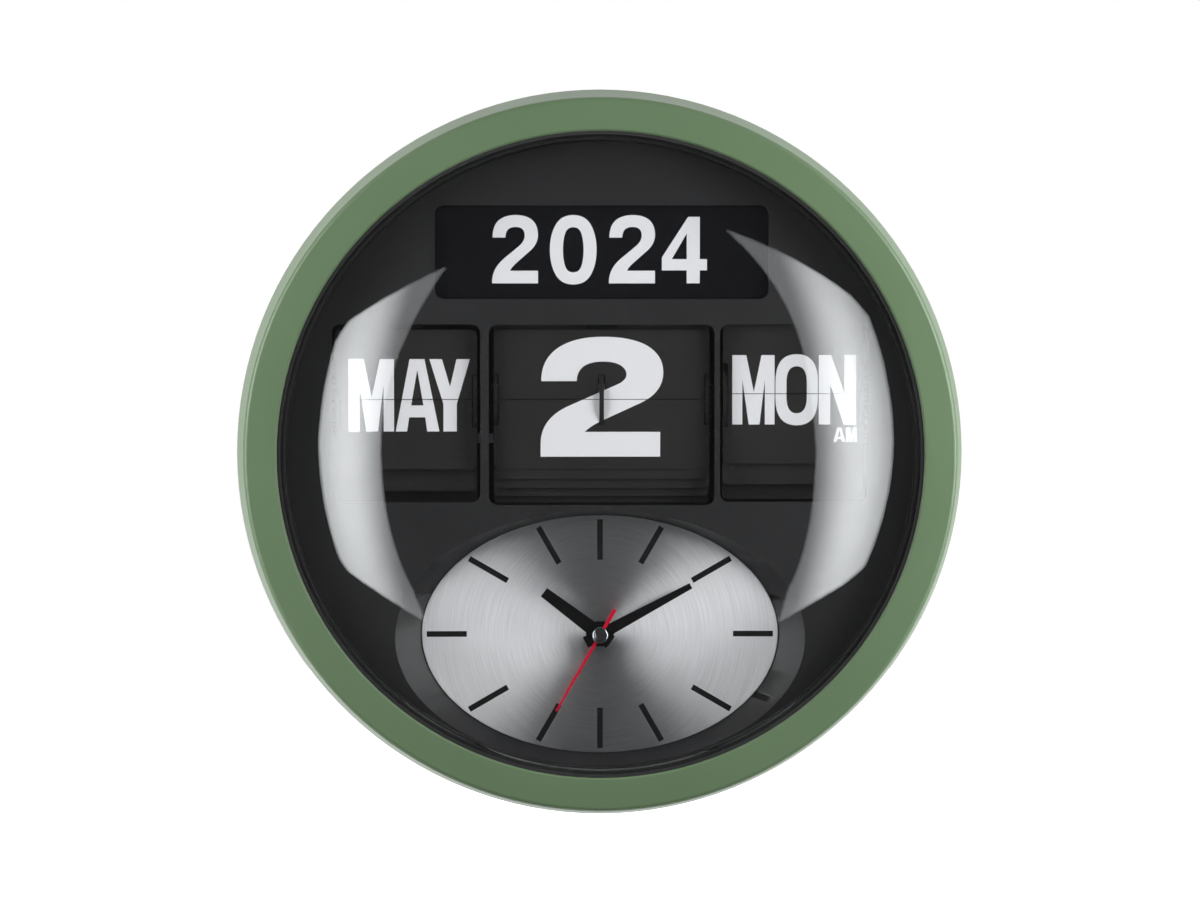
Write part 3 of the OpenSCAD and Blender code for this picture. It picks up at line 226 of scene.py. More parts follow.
def rolled_metal(name, colour, roughness=0.3, grain=(12, 0.25, 0.25)):
    """Rolled or turned metal: short lines of wear along one way, drawn at a few tenths
    of a millimetre so that they show."""
    material, tree = new_material(name)
    stretched = add(
        tree,
        "ShaderNodeMapping",
        {"Vector": position(tree), "Scale": [1 / g for g in grain]},
    )
    lines = add(
        tree,
        "ShaderNodeTexNoise",
        {"Vector": stretched.outputs[0], "Scale": 1.0, "Detail": 3.0},
    )
    dull = add(
        tree,
        "ShaderNodeMapRange",
        {
            "Value": lines.outputs["Fac"],
            "To Min": roughness * 0.75,
            "To Max": roughness * 1.3,
        },
    )
    bump = add(
        tree,
        "ShaderNodeBump",
        {"Height": lines.outputs["Fac"], "Strength": 0.3, "Distance": 0.02 * MM},
    )
    body = add(
        tree,
        "ShaderNodeBsdfPrincipled",
        {
            "Base Color": shades(tree, lines.outputs["Fac"], colour, 0.9, 1.05),
            "Metallic": 1.0,
            "Roughness": dull.outputs[0],
            "Normal": bump.outputs[0],
        },
    )
    show(tree, body.outputs[0])
    return material


def screen_ink(name, colour, roughness=0.4):
    """Screen-printed ink: an even matt film whose cover varies a little."""
    material, tree = new_material(name)
    cover = add(
        tree,
        "ShaderNodeTexNoise",
        {"Vector": position(tree), "Scale": 1 / 0.8, "Detail": 3.0},
    )
    body = add(
        tree,
        "ShaderNodeBsdfPrincipled",
        {
            "Base Color": shades(tree, cover.outputs["Fac"], colour, 0.95, 1.02),
            "Roughness": roughness,
            "Specular IOR Level": 0.25,
        },
    )
    show(tree, body.outputs[0])
    return material


def clear_acrylic(name):
    """Moulded clear acrylic: lamps reach what is under it, and it mirrors the studio."""
    material, tree = new_material(name)
    body = add(
        tree,
        "ShaderNodeBsdfPrincipled",
        {
            "Base Color": (0.985, 0.99, 0.99, 1),
            "Roughness": 0.0,
            "IOR": 1.49,
            "Transmission Weight": 1.0,
        },
    )
    clear = add(tree, "ShaderNodeBsdfTransparent")
    path = add(tree, "ShaderNodeLightPath")
    lit = add(
        tree,
        "ShaderNodeMath",
        {0: path.outputs["Is Shadow Ray"], 1: path.outputs["Is Diffuse Ray"]},
        operation="MAXIMUM",
    )
    mixed = add(
        tree,
        "ShaderNodeMixShader",
        {0: lit.outputs[0], 1: body.outputs[0], 2: clear.outputs[0]},
    )
    show(tree, mixed.outputs[0])
    return material


def spun_aluminium(name, colour, roughness):
    """Aluminium spun against abrasive: grooves run in circles round the hands' axis, so
    light from each side opens out into a wedge."""
    material, tree = new_material(name)
    centred = add(
        tree,
        "ShaderNodeVectorMath",
        {0: position(tree), 1: HANDS_AXIS / MM},
        operation="SUBTRACT",
    )
    outward = add(
        tree,
        "ShaderNodeVectorMath",
        {0: centred.outputs[0], 1: (1, 0, 1)},
        operation="MULTIPLY",
    )
    across = add(
        tree,
        "ShaderNodeVectorMath",
        {0: outward.outputs[0]},
        operation="NORMALIZE",
    )
    radius = add(
        tree,
        "ShaderNodeVectorMath",
        {0: outward.outputs[0]},
        operation="LENGTH",
    )
    parts = add(tree, "ShaderNodeSeparateXYZ", {0: across.outputs[0]})
    angle = add(
        tree,
        "ShaderNodeMath",
        {0: parts.outputs["X"], 1: parts.outputs["Z"]},
        operation="ARCTAN2",
    )
    spot = add(
        tree,
        "ShaderNodeCombineXYZ",
        {"X": radius.outputs["Value"], "Y": angle.outputs[0]},
    )
    rings = add(
        tree,
        "ShaderNodeTexNoise",
        {"Vector": spot.outputs[0], "Scale": 1 / 0.55, "Detail": 3.0},
        noise_dimensions="2D",
    )
    body = add(
        tree,
        "ShaderNodeBsdfPrincipled",
        {
            "Base Color": shades(tree, rings.outputs["Fac"], colour, 0.82, 1.1),
            "Metallic": 1.0,
            "Roughness": roughness,
            "Anisotropic": 1.0,
            "Tangent": across.outputs[0],
        },
    )
    show(tree, body.outputs[0])
    return material


def polished_chrome(name):
    """Polished chrome plate: nearly a mirror, with the faintest haze."""
    material, tree = new_material(name)
    haze = add(
        tree,
        "ShaderNodeTexNoise",
        {"Vector": position(tree), "Scale": 1 / 1.5, "Detail": 2.0},
    )
    dull = add(
        tree,
        "ShaderNodeMapRange",
        {"Value": haze.outputs["Fac"], "To Min": 0.06, "To Max": 0.12},
    )
    body = add(
        tree,
        "ShaderNodeBsdfPrincipled",
        {
            "Base Color": (*linear("#C9CCD0"), 1),
            "Metallic": 1.0,
            "Roughness": dull.outputs[0],
        },
    )
    show(tree, body.outputs[0])
    return material


def wound_wire(name, colour):
    """Enamelled copper wire wound in one layer, drawn with a turn about every 0.6 mm,
    which is coarser than real so that it shows."""
    material, tree = new_material(name)
    pitch = 0.594
    turns = add(
        tree,
        "ShaderNodeTexWave",
        # At a scale of 1 this texture has a band every pi / 10
        {"Vector": position(tree), "Scale": math.pi / 10 / pitch, "Distortion": 0.0},
        bands_direction="X",
    )
    bump = add(
        tree,
        "ShaderNodeBump",
        {"Height": turns.outputs["Fac"], "Strength": 0.6, "Distance": 0.08 * MM},
    )
    body = add(
        tree,
        "ShaderNodeBsdfPrincipled",
        {
            # The colour is darker in the grooves between turns and a little lighter on their
            # tops: painted shade and painted highlight that follow the bump
            "Base Color": shades(tree, turns.outputs["Fac"], colour, 0.6, 1.1),
            "Metallic": 0.6,
            "Roughness": 0.35,
            "Normal": bump.outputs[0],
        },
    )
    show(tree, body.outputs[0])
    return material


def make_finishes(tints):
    """Every finish of the clock, by name."""
    return {
        "green": moulded_plastic("satin_green_abs", tints.case, 0.42, 0.4, 0.02, 0.02),
        "face": moulded_plastic("grained_black_abs", tints.face, 0.46, 0.55, 0.07, 0.2),
        "leaf": moulded_plastic("black_pvc_leaf", tints.leaf, 0.42, 0.3, 0.01, 0.05),
        "card": moulded_plastic("blue_black_card", tints.card, 0.25, 0.3, 0.01, 0.05),
        "grey": moulded_plastic("grey_acetal", linear("#8B8D90"), 0.4),
        "black": moulded_plastic("black_abs", linear("#1C1C1D"), 0.4),
        "rubber": moulded_plastic("black_rubber", linear("#101010"), 0.7, 0.5, 0.03),
        "board": moulded_plastic("green_solder_mask", linear("#24543A"), 0.25, 2.0),
        "sleeve": moulded_plastic("shrink_sleeve", linear("#33485F"), 0.2, 3.0, 0.01),
        "zinc": rolled_metal("zinc_plated_steel", linear("#B4B7BB"), 0.35),
        "spring": rolled_metal("spring_steel", linear("#A9ACB0"), 0.22, (9, 0.2, 0.2)),
        "brass": rolled_metal("turned_brass", linear("#C6A655"), 0.28, (0.3, 0.3, 0.3)),
        "magnet": rolled_metal("sintered_magnet", linear("#6E7176"), 0.5, (1, 1, 1)),
        "copper": wound_wire("enamelled_copper_wire", linear("#B4602F")),
        "acrylic": clear_acrylic("clear_acrylic"),
        "dial": spun_aluminium("spun_aluminium", tints.dial, 0.5),
        "white": screen_ink("white_screen_ink", tints.ink),
        "bar": screen_ink("black_screen_ink", linear("#060606"), 0.5),
        "hand": screen_ink("satin_black_lacquer", linear("#0B0B0C"), 0.35),
        "red": screen_ink("red_lacquer", tints.second, 0.4),
        "chrome": polished_chrome("polished_chrome"),
    }


# Meshes


def finish_of(name):
    """A finish by name. Finishes are made once, when the first piece asks for one."""
    made = bpy.context.scene.get("clock_finishes")
    if made is None:
        scene = bpy.context.scene
        table = make_finishes(scene.clock_tints)
        scene["clock_finishes"] = {key: m.name for key, m in table.items()}
        made = scene["clock_finishes"]
    return bpy.data.materials[made[name]]


def put(piece, body, finish, *nodes, slot=None):
    """Gives a piece its finish and its body, and hides the CAD nodes that it stands for."""
    if finish is not None:
        piece.data.materials.clear()
        piece.data.materials.append(finish_of(finish))
    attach(piece, body)
    if nodes:
        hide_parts(*nodes)
    return piece


def link(name, mesh):
    piece = bpy.data.objects.new(name, mesh)
    bpy.context.scene.collection.objects.link(piece)
    return piece


def body_name(node):
    return frame["nodes"][node]["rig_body"]


def smooth(mesh):
    """Smooth shading that keeps sharp edges."""
    mesh.shade_smooth()
    mesh.set_sharp_from_angle(angle=math.radians(SHARP))


def paint(finish, *nodes):
    """Gives CAD nodes that keep their own mesh a finish."""
    for node in nodes:
        mesh = frame["nodes"][node].data
        mesh.materials.clear()
        mesh.materials.append(finish_of(finish))


def dressed(node, finish, slot, edge=0.0):
    """A copy of a CAD node with smooth curves and, if asked, softened edges (mm)."""
    mesh = frame["nodes"][node].data.copy()
    work = bmesh.new()
    work.from_mesh(mesh)
    bmesh.ops.remove_doubles(work, verts=work.verts, dist=WELD * MM)
    bmesh.ops.dissolve_limit(
        work,
        angle_limit=math.radians(0.05),
        verts=work.verts,
        edges=work.edges,
    )
    work.to_mesh(mesh)
    work.free()
    piece = link(f"{node}_finished", mesh)
    if edge:
        bevel = piece.modifiers.new("Softened edges", "BEVEL")
        bevel.width = edge * MM
        bevel.segments = 3
        bevel.limit_method = "ANGLE"
        bevel.angle_limit = math.radians(40)
        bevel.harden_normals = True
    smooth(mesh)
    return put(piece, body_name(node), finish, node, slot=slot)


def outline_mesh(name, contours, back, thickness):
    """A flat plate from contours in [x, up] mm, standing out from a depth in mm."""
    curve = bpy.data.curves.new(name, "CURVE")
    curve.dimensions = "2D"
    curve.fill_mode = "BOTH"
    curve.extrude = thickness / 2
    for contour in contours:
        line = curve.splines.new("POLY")
        line.points.add(len(contour) - 1)
        for point, (x, up) in zip(line.points, contour):
            point.co = (x, up, 0, 1)
        line.use_cyclic_u = True
    flat = bpy.data.objects.new(name, curve)
    bpy.context.scene.collection.objects.link(flat)
    shape = bpy.context.evaluated_depsgraph_get()
    mesh = bpy.data.meshes.new_from_object(flat.evaluated_get(shape))
    bpy.data.objects.remove(flat)
    work = bmesh.new()
    work.from_mesh(mesh)
    bmesh.ops.remove_doubles(work, verts=work.verts, dist=0.001)
    stand = Matrix(((MM, 0, 0, 0), (0, 0, -MM, 0), (0, MM, 0, 0), (0, 0, 0, 1)))
    shift = Matrix.Translation((0, -(back + thickness / 2) * MM, 0))
    bmesh.ops.transform(work, matrix=shift @ stand, verts=work.verts)
    bmesh.ops.recalc_face_normals(work, faces=work.faces)
    work.to_mesh(mesh)
    work.free()
    mesh.name = name
    return mesh


def half_of(mesh, seam, above):
    """Keeps what lies above or below a seam (mm up), with the cut closed."""
    work = bmesh.new()
    work.from_mesh(mesh)
    cut = bmesh.ops.bisect_plane(
        work,
        geom=[*work.verts, *work.edges, *work.faces],
        plane_co=(0, 0, seam * MM),
        plane_no=(0, 0, 1),
        clear_outer=not above,
        clear_inner=above,
    )
    edges = [e for e in cut["geom_cut"] if isinstance(e, bmesh.types.BMEdge)]
    bmesh.ops.holes_fill(work, edges=edges)
    bmesh.ops.recalc_face_normals(work, faces=work.faces)
    work.to_mesh(mesh)
    work.free()
    return mesh


def revolved(name, profile, steps, up=0.0):
    """A closed ring or body turned from a profile of [radius, depth] points in mm.
    Points on the axis close its poles."""
    work = bmesh.new()
    rings = []
    for radius, depth in profile:
        if radius < 1e-6:
            rings.append([work.verts.new((0, -depth * MM, up * MM))])
            continue
        rings.append(
            [
                work.verts.new(
                    (
                        radius * math.cos(2 * math.pi * i / steps) * MM,
                        -depth * MM,
                        (up + radius * math.sin(2 * math.pi * i / steps)) * MM,
                    )
                )
                for i in range(steps)
            ]
        )
    open_ends = len(rings[0]) == 1 and len(rings[-1]) == 1
    pairs = list(zip(rings, rings[1:] if open_ends else rings[1:] + rings[:1]))
    for first, second in pairs:
        for i in range(steps):
            corners = [
                first[i % len(first)],
                first[(i + 1) % len(first)],
                second[(i + 1) % len(second)],
                second[i % len(second)],
            ]
            work.faces.new(list(dict.fromkeys(corners)))
    bmesh.ops.recalc_face_normals(work, faces=work.faces)
    mesh = bpy.data.meshes.new(name)
    work.to_mesh(mesh)
    work.free()
    smooth(mesh)
    return mesh


def arc(cx, cy, radius, start, end, steps):
    """Points along a circle, in degrees."""
    turns = [math.radians(start + (end - start) * i / steps) for i in range(steps + 1)]
    return [(cx + radius * math.cos(a), cy + radius * math.sin(a)) for a in turns]


def islands(node):
    """Boxes of the separate solids of a CAD node, in metres, sorted by their low corner
    so that every run gives them in the same order."""
    work = bmesh.new()
    work.from_mesh(frame["nodes"][node].data)
    bmesh.ops.remove_doubles(work, verts=work.verts, dist=WELD * MM)
    left, found = set(work.verts), []
    while left:
        group, queue = set(), [left.pop()]
        while queue:
            vertex = queue.pop()
            group.add(vertex)
            for edge in vertex.link_edges:
                other = edge.other_vert(vertex)
                if other in left:
                    left.discard(other)
                    queue.append(other)
        spots = [v.co for v in group]
        low = Vector(min(c[i] for c in spots) for i in range(3))
        high = Vector(max(c[i] for c in spots) for i in range(3))
        found.append((low, high))
    work.free()
    return sorted(found, key=lambda box: box[0][:])


# Letters and figures: outlines on a field of 100 by 100, where a point marked C is the
# control point of a curve between its neighbours


C = True
GLYPHS = {
    "year 2": [
        [
            (0, 0), (100, 0), (100, 18.5), (39, 18.5), (43, 24, C), (53, 30),
            (80, 46), (100, 57, C), (100, 71), (100, 86, C), (86, 93.5),
            (73, 100, C), (51, 100), (28, 100, C), (14, 92), (1, 84, C), (1, 67),
            (29, 67), (29, 75, C), (35, 79), (41, 82.5, C), (51, 82.5),
            (71, 82.5, C), (71, 70.5), (71, 62, C), (60, 55.5), (27, 37),
            (0, 22, C), (0, 3),
        ]
    ],
    "year 0": [
        [
            (50, 0), (78, 0, C), (90, 17), (100, 31, C), (100, 50), (100, 69, C),
            (90, 83), (78, 100, C), (50, 100), (22, 100, C), (10, 83),
            (0, 69, C), (0, 50), (0, 31, C), (10, 17), (22, 0, C),
        ],
        [
            (50, 17.5), (64, 17.5, C), (68, 28), (72, 37, C), (72, 50),
            (72, 63, C), (68, 72), (64, 82.5, C), (50, 82.5), (36, 82.5, C),
            (32, 72), (28, 63, C), (28, 50), (28, 37, C), (32, 28),
            (36, 17.5, C),
        ],
    ],
    "year 4": [
        [
            (55, 0), (84, 0), (84, 19.5), (100, 19.5), (100, 36.5), (84, 36.5),
            (84, 100), (58, 100), (0, 39), (0, 19.5), (55, 19.5),
        ],
        [(55, 36.5), (55, 75), (22, 36.5)],
    ],
    "2": [
        [
            (0, 0), (97.5, 0), (97.5, 20.7), (36, 20.7), (41, 26, C), (52, 31),
            (82, 45), (100, 54, C), (100, 70.3), (100, 84.5, C), (87, 92.5),
            (74, 100, C), (50.6, 100), (28, 100, C), (14.5, 91),
            (0.5, 81.5, C), (0.5, 63), (29.5, 63), (29.5, 71, C), (35, 75.3),
            (40.5, 79.3, C), (50.6, 79.3), (60, 79.3, C), (65, 76.3),
            (70, 73.2, C), (70, 68.6), (70, 63.5, C), (62, 60), (21, 41.5),
            (0, 31, C), (0, 11),
        ]
    ],
    "3": [
        [
            (1, 31), (2, 0, C), (50, 0), (75, 0, C), (88, 8), (100, 16, C),
            (100, 30), (100, 46, C), (78, 52), (97, 58, C), (97, 74),
            (97, 86, C), (84, 93), (71, 100, C), (50, 100), (6, 100, C),
            (4, 68), (33, 68), (34, 80, C), (50, 80), (66, 80, C), (66, 71),
            (66, 61, C), (50, 61), (40, 61), (40, 43), (50, 43), (69, 43, C),
            (69, 31.5), (69, 20, C), (50, 20), (32, 20, C), (31, 31),
        ]
    ],
    "A": [
        [
            (0, 0), (26, 0), (31, 19.5), (67.5, 19.5), (72, 0), (100, 0),
            (66, 100), (32, 100),
        ],
        [(35.5, 36), (63.5, 36), (49.5, 85)],
    ],
    "J": [
        [
            (62, 100), (100, 100), (100, 32), (100, 0, C), (50, 0), (0, 0, C),
            (0, 32), (0, 40), (36, 40), (36, 30), (36, 17, C), (50, 17),
            (62, 17, C), (62, 30),
        ]
    ],
    "M": [
        [
            (0, 0), (0, 100), (33, 100), (51, 47), (69, 100), (100, 100),
            (100, 0), (77, 0), (77, 64), (64.5, 0), (39, 0), (24, 64), (24, 0),
        ]
    ],
    "N": [
        [
            (0, 0), (0, 100), (33, 100), (69.5, 44), (69.5, 100), (100, 100),
            (100, 0), (68, 0), (31, 58), (31, 0),
        ]
    ],
    "O": [
        [
            (50, 0), (100, 0, C), (100, 38), (100, 62), (100, 100, C),
            (50, 100), (0, 100, C), (0, 62), (0, 38), (0, 0, C),
        ],
        [
            (50, 17), (74, 17, C), (74, 40), (74, 60), (74, 83, C), (50, 83),
            (26, 83, C), (26, 60), (26, 40), (26, 17, C),
        ],
    ],
    "P": [
        [
            (0, 0), (30, 0), (30, 37), (50, 37), (100, 37, C), (100, 68.5),
            (100, 100, C), (50, 100), (0, 100),
        ],
        [(30, 56), (48, 56), (68, 56, C), (68, 68.5), (68, 81, C), (48, 81), (30, 81)],
    ],
    "U": [
        [
            (0, 100), (28, 100), (28, 30), (28, 17, C), (50, 17), (72, 17, C),
            (72, 30), (72, 100), (100, 100), (100, 30), (100, 0, C), (50, 0),
            (0, 0, C), (0, 30),
        ]
    ],
    "Y": [
        [
            (0, 100), (31, 100), (51, 62), (67, 100), (100, 100), (67.5, 38),
            (67.5, 0), (34.5, 0), (34.5, 38),
        ]
    ],
}


def drawn(outline):
    """An outline's points, with its curves drawn out."""
    points = []
    for i, point in enumerate(outline):
        if len(point) == 2:
            points.append(point)
            continue
        before, after = outline[i - 1], outline[(i + 1) % len(outline)]
        for k in range(1, CURVE_STEPS):
            t = k / CURVE_STEPS
            points.append(
                tuple(
                    (1 - t) ** 2 * before[j]
                    + 2 * t * (1 - t) * point[j]
                    + t * t * after[j]
                    for j in (0, 1)
                )
            )
    return points


def contours_of(letter, left, low, right, high):
    """A letter's contours in mm, between its edges."""
    return [
        [
            (left + x / 100 * (right - left), low + y / 100 * (high - low))
            for x, y in drawn(outline)
        ]
        for outline in GLYPHS[letter]
    ]


# What is printed: each letter with its left, low, right and high edge in mm
YEAR = [
    ("year 2", -47.3, 74.5, -27.2, 104.4),
    ("year 0", -22.0, 74.0, -1.5, 104.4),
    ("year 2", 3.9, 74.5, 24.1, 104.4),
    ("year 4", 27.1, 74.5, 46.9, 103.6),
]
SHOWN = {
    "month": [
        ("M", -110.3, 9.5, -90.4, 41.3),
        ("A", -89.7, 9.5, -70.5, 41.3),
        ("Y", -74.9, 9.5, -57.1, 41.3),
    ],
    "date": [("2", -26.1, -1.6, 27.8, 51.1)],
    "weekday": [
        ("M", 58.1, 12.5, 76.7, 43.0),
        ("O", 77.1, 12.1, 95.7, 43.4),
        ("N", 96.1, 12.5, 112.4, 43.0),
        ("A", 102.6, 4.8, 107.8, 11.1),
        ("M", 108.1, 4.8, 112.8, 11.1),
    ],
}
NEXT = {
    "month": [
        ("J", -111.2, 9.1, -95.2, 41.3),
        ("U", -93.2, 9.1, -76.1, 41.3),
        ("N", -74.2, 9.5, -57.6, 41.3),
    ],
    "date": [("3", -26.1, -2.0, 27.0, 51.5)],
    "weekday": [
        *SHOWN["weekday"][:3],
        ("P", 102.8, 4.8, 107.3, 11.1),
        ("M", 108.1, 4.8, 112.8, 11.1),
    ],
}


def words(name, letters, depth):
    """One mesh with all letters of a word, lying on a surface at a depth in mm."""
    sizes = bpy.context.scene.clock_sizes
    work = bmesh.new()
    for i, (letter, *edges) in enumerate(letters):
        mesh = outline_mesh(f"{name}_{i}", contours_of(letter, *edges), depth, sizes.ink)
        work.from_mesh(mesh)
        bpy.data.meshes.remove(mesh)
    mesh = bpy.data.meshes.new(name)
    work.to_mesh(mesh)
    work.free()
    return mesh


# Node trees for what repeats


def socket(tree, name, kind, default=None, way="INPUT"):
    made = tree.interface.new_socket(name, in_out=way, socket_type=kind)
    if default is not None:
        made.default_value = default
    return made


def run_tree(name, base, tree, values):
    """Runs a node tree on a base mesh and returns the result as a plain mesh object."""
    holder = link(f"{name}_points", base)
    modifier = holder.modifiers.new(name, "NODES")
    modifier.node_group = tree
    named = {s.name: s.identifier for s in tree.interface.items_tree}
    for key, value in values.items():
        modifier[named[key]] = value
    shape = bpy.context.evaluated_depsgraph_get()
    mesh = bpy.data.meshes.new_from_object(holder.evaluated_get(shape))
    bpy.data.objects.remove(holder)
    if not mesh.polygons:
        raise RuntimeError(f"the node tree of {name} made nothing")
    work = bmesh.new()
    work.from_mesh(mesh)
    bmesh.ops.recalc_face_normals(work, faces=work.faces)
    work.to_mesh(mesh)
    work.free()
    return link(name, mesh)


def bar_tree():
    """Hour bars: a thin block on each point, turned to face the hands' axis."""
    tree = bpy.data.node_groups.new("Hour bars", "GeometryNodeTree")
    socket(tree, "Points", "NodeSocketGeometry")
    socket(tree, "Centre", "NodeSocketVector")
    socket(tree, "Width", "NodeSocketFloat", 2.5 * MM)
    socket(tree, "Thickness", "NodeSocketFloat", 0.05 * MM)
    socket(tree, "Ink", "NodeSocketMaterial")
    socket(tree, "Bars", "NodeSocketGeometry", way="OUTPUT")
    given = add(tree, "NodeGroupInput").outputs
    at = add(tree, "GeometryNodeInputPosition")
    outward = add(
        tree,
        "ShaderNodeVectorMath",
        {0: at.outputs[0], 1: given["Centre"]},
        operation="SUBTRACT",
    )
    turned = add(
        tree,
        "FunctionNodeAlignRotationToVector",
        {"Vector": outward.outputs[0]},
        axis="X",
        pivot_axis="Y",
    )
    length = add(
        tree, "GeometryNodeInputNamedAttribute", {"Name": "bar_length"}, data_type="FLOAT"
    )
    scale = add(
        tree, "ShaderNodeCombineXYZ", {"X": length.outputs[0], "Y": 1.0, "Z": 1.0}
    )
    size = add(
        tree,
        "ShaderNodeCombineXYZ",
        {"X": 1.0, "Y": given["Thickness"], "Z": given["Width"]},
    )
    block = add(tree, "GeometryNodeMeshCube", {"Size": size.outputs[0]})
    points = add(tree, "GeometryNodeMeshToPoints", {"Mesh": given["Points"]})
    placed = add(
        tree,
        "GeometryNodeInstanceOnPoints",
        {
            "Points": points.outputs[0],
            "Instance": block.outputs[0],
            "Rotation": turned.outputs[0],
            "Scale": scale.outputs[0],
        },
    )
    real = add(tree, "GeometryNodeRealizeInstances", {0: placed.outputs[0]})
    inked = add(
        tree,
        "GeometryNodeSetMaterial",
        {"Geometry": real.outputs[0], "Material": given["Ink"]},
    )
    add(tree, "NodeGroupOutput", {"Bars": inked.outputs[0]})
    return tree


def screw_tree():
    """Cross-head screws: a head with a cut cross on every point, and a shank of the
    length that the point asks for."""
    tree = bpy.data.node_groups.new("Screws", "GeometryNodeTree")
    socket(tree, "Points", "NodeSocketGeometry")
    socket(tree, "Head radius", "NodeSocketFloat", 2.5 * MM)
    socket(tree, "Head height", "NodeSocketFloat", 1.5 * MM)
    socket(tree, "Shank radius", "NodeSocketFloat", 1.2 * MM)
    socket(tree, "Turn", "NodeSocketVector")
    socket(tree, "Metal", "NodeSocketMaterial")
    socket(tree, "Screws", "NodeSocketGeometry", way="OUTPUT")
    given = add(tree, "NodeGroupInput").outputs
    half = add(
        tree,
        "ShaderNodeMath",
        {0: given["Head height"], 1: 0.5},
        operation="MULTIPLY",
    )
    base = add(
        tree,
        "GeometryNodeMeshCylinder",
        {"Vertices": 32, "Radius": given["Head radius"], "Depth": given["Head height"]},
    )
    lift = add(tree, "ShaderNodeCombineXYZ", {"Z": half.outputs[0]})
    seated = add(
        tree,
        "GeometryNodeTransform",
        {"Geometry": base.outputs["Mesh"], "Translation": lift.outputs[0]},
    )
    wide = add(
        tree,
        "ShaderNodeMath",
        {0: given["Head radius"], 1: 1.3},
        operation="MULTIPLY",
    )
    slim = add(
        tree,
        "ShaderNodeMath",
        {0: given["Head radius"], 1: 0.26},
        operation="MULTIPLY",
    )
    slots = []
    for x, y in ((wide, slim), (slim, wide)):
        size = add(
            tree,
            "ShaderNodeCombineXYZ",
            {"X": x.outputs[0], "Y": y.outputs[0], "Z": given["Head height"]},
        )
        slot = add(tree, "GeometryNodeMeshCube", {"Size": size.outputs[0]})
        top = add(tree, "ShaderNodeCombineXYZ", {"Z": given["Head height"]})
        slots.append(
            add(
                tree,
                "GeometryNodeTransform",
                {"Geometry": slot.outputs[0], "Translation": top.outputs[0]},
            )
        )
    cut = add(
        tree,
        "GeometryNodeMeshBoolean",
        {"Mesh 1": seated.outputs[0]},
        operation="DIFFERENCE",
        solver="EXACT",
    )
    for slot in slots:
        tree.links.new(slot.outputs[0], cut.inputs["Mesh 2"])
    shank = add(
        tree,
        "GeometryNodeMeshCylinder",
        {"Vertices": 24, "Radius": given["Shank radius"], "Depth": 1.0},
    )
    hung = add(
        tree,
        "GeometryNodeTransform",
        {"Geometry": shank.outputs["Mesh"], "Translation": (0, 0, -0.5)},
    )
    length = add(
        tree,
        "GeometryNodeInputNamedAttribute",
        {"Name": "shank_length"},
        data_type="FLOAT",
    )
    stretch = add(
        tree, "ShaderNodeCombineXYZ", {"X": 1.0, "Y": 1.0, "Z": length.outputs[0]}
    )
    points = add(tree, "GeometryNodeMeshToPoints", {"Mesh": given["Points"]})
    whole = add(tree, "GeometryNodeJoinGeometry")
    for part, scale in ((cut, (1, 1, 1)), (hung, stretch.outputs[0])):
        placed = add(
            tree,
            "GeometryNodeInstanceOnPoints",
            {
                "Points": points.outputs[0],
                "Instance": part.outputs[0],
                "Rotation": given["Turn"],
                "Scale": scale,
            },
        )
        tree.links.new(placed.outputs[0], whole.inputs[0])
    real = add(tree, "GeometryNodeRealizeInstances", {0: whole.outputs[0]})
    plated = add(
        tree,
        "GeometryNodeSetMaterial",
        {"Geometry": real.outputs[0], "Material": given["Metal"]},
    )
    add(tree, "NodeGroupOutput", {"Screws": plated.outputs[0]})
    return tree


# Sizes and colours that a user may change


class ClockSizes(bpy.types.PropertyGroup):
    """Sizes of what Blender adds to the clock, in millimetres."""

    ink: FloatProperty(
        name="Ink thickness",
        description="How far the printed letters stand out",
        default=0.03,
        min=0.005,
        max=0.1,
    )
    edge: FloatProperty(
        name="Softened edge",
        description="Width of the softened edges of moulded and stamped pieces",
        default=0.3,
        min=0.05,
        max=0.8,
    )
    rim: FloatProperty(
        name="Window rim",
        description="Width of the rounded rims of the face plate's windows",
        default=0.8,
        min=0.1,
        max=0.9,
    )
    bar_width: FloatProperty(
        name="Hour bar width",
        description="Width of the hour bars on the dial",
        default=2.5,
        min=1.0,
        max=4.0,
    )


class ClockTints(bpy.types.PropertyGroup):
    """Colours of the clock's finishes."""

    case: FloatVectorProperty(
        name="Case",
        description="Colour of the case",
        subtype="COLOR",
        default=linear("#6A8361"),
    )
    face: FloatVectorProperty(
        name="Face plate",
        description="Colour of the grained face plate",
        subtype="COLOR",
        default=linear("#1B1B1D"),
    )
    leaf: FloatVectorProperty(
        name="Leaves",
        description="Colour of the calendar leaves",
        subtype="COLOR",
        default=linear("#1F1D1D"),
    )
    card: FloatVectorProperty(
        name="Year card",
        description="Colour of the year card",
        subtype="COLOR",
        default=linear("#0D0D12"),
    )
    dial: FloatVectorProperty(
        name="Dial",
        description="Colour of the spun dial",
        subtype="COLOR",
        default=linear("#F6F6F8"),
    )
    ink: FloatVectorProperty(
        name="Print",
        description="Colour of the printed letters",
        subtype="COLOR",
        default=linear("#F8F9FD"),
    )
    second: FloatVectorProperty(
        name="Second hand",
        description="Colour of the second hand",
        subtype="COLOR",
        default=linear("#CB0A30"),
    )


# Operators


class CLOCK_OT_case(bpy.types.Operator):
    """Green bezel, rear case and battery door"""

    bl_idname = "clock.case"
    bl_label = "Case"

    def execute(self, context):
        edge = context.scene.clock_sizes.edge
        dressed("bezel", "green", "case_green", edge)
        dressed("rear_case", "green", "case_green", edge)
        dressed("battery_door", "green", "case_green", edge)
        return {"FINISHED"}


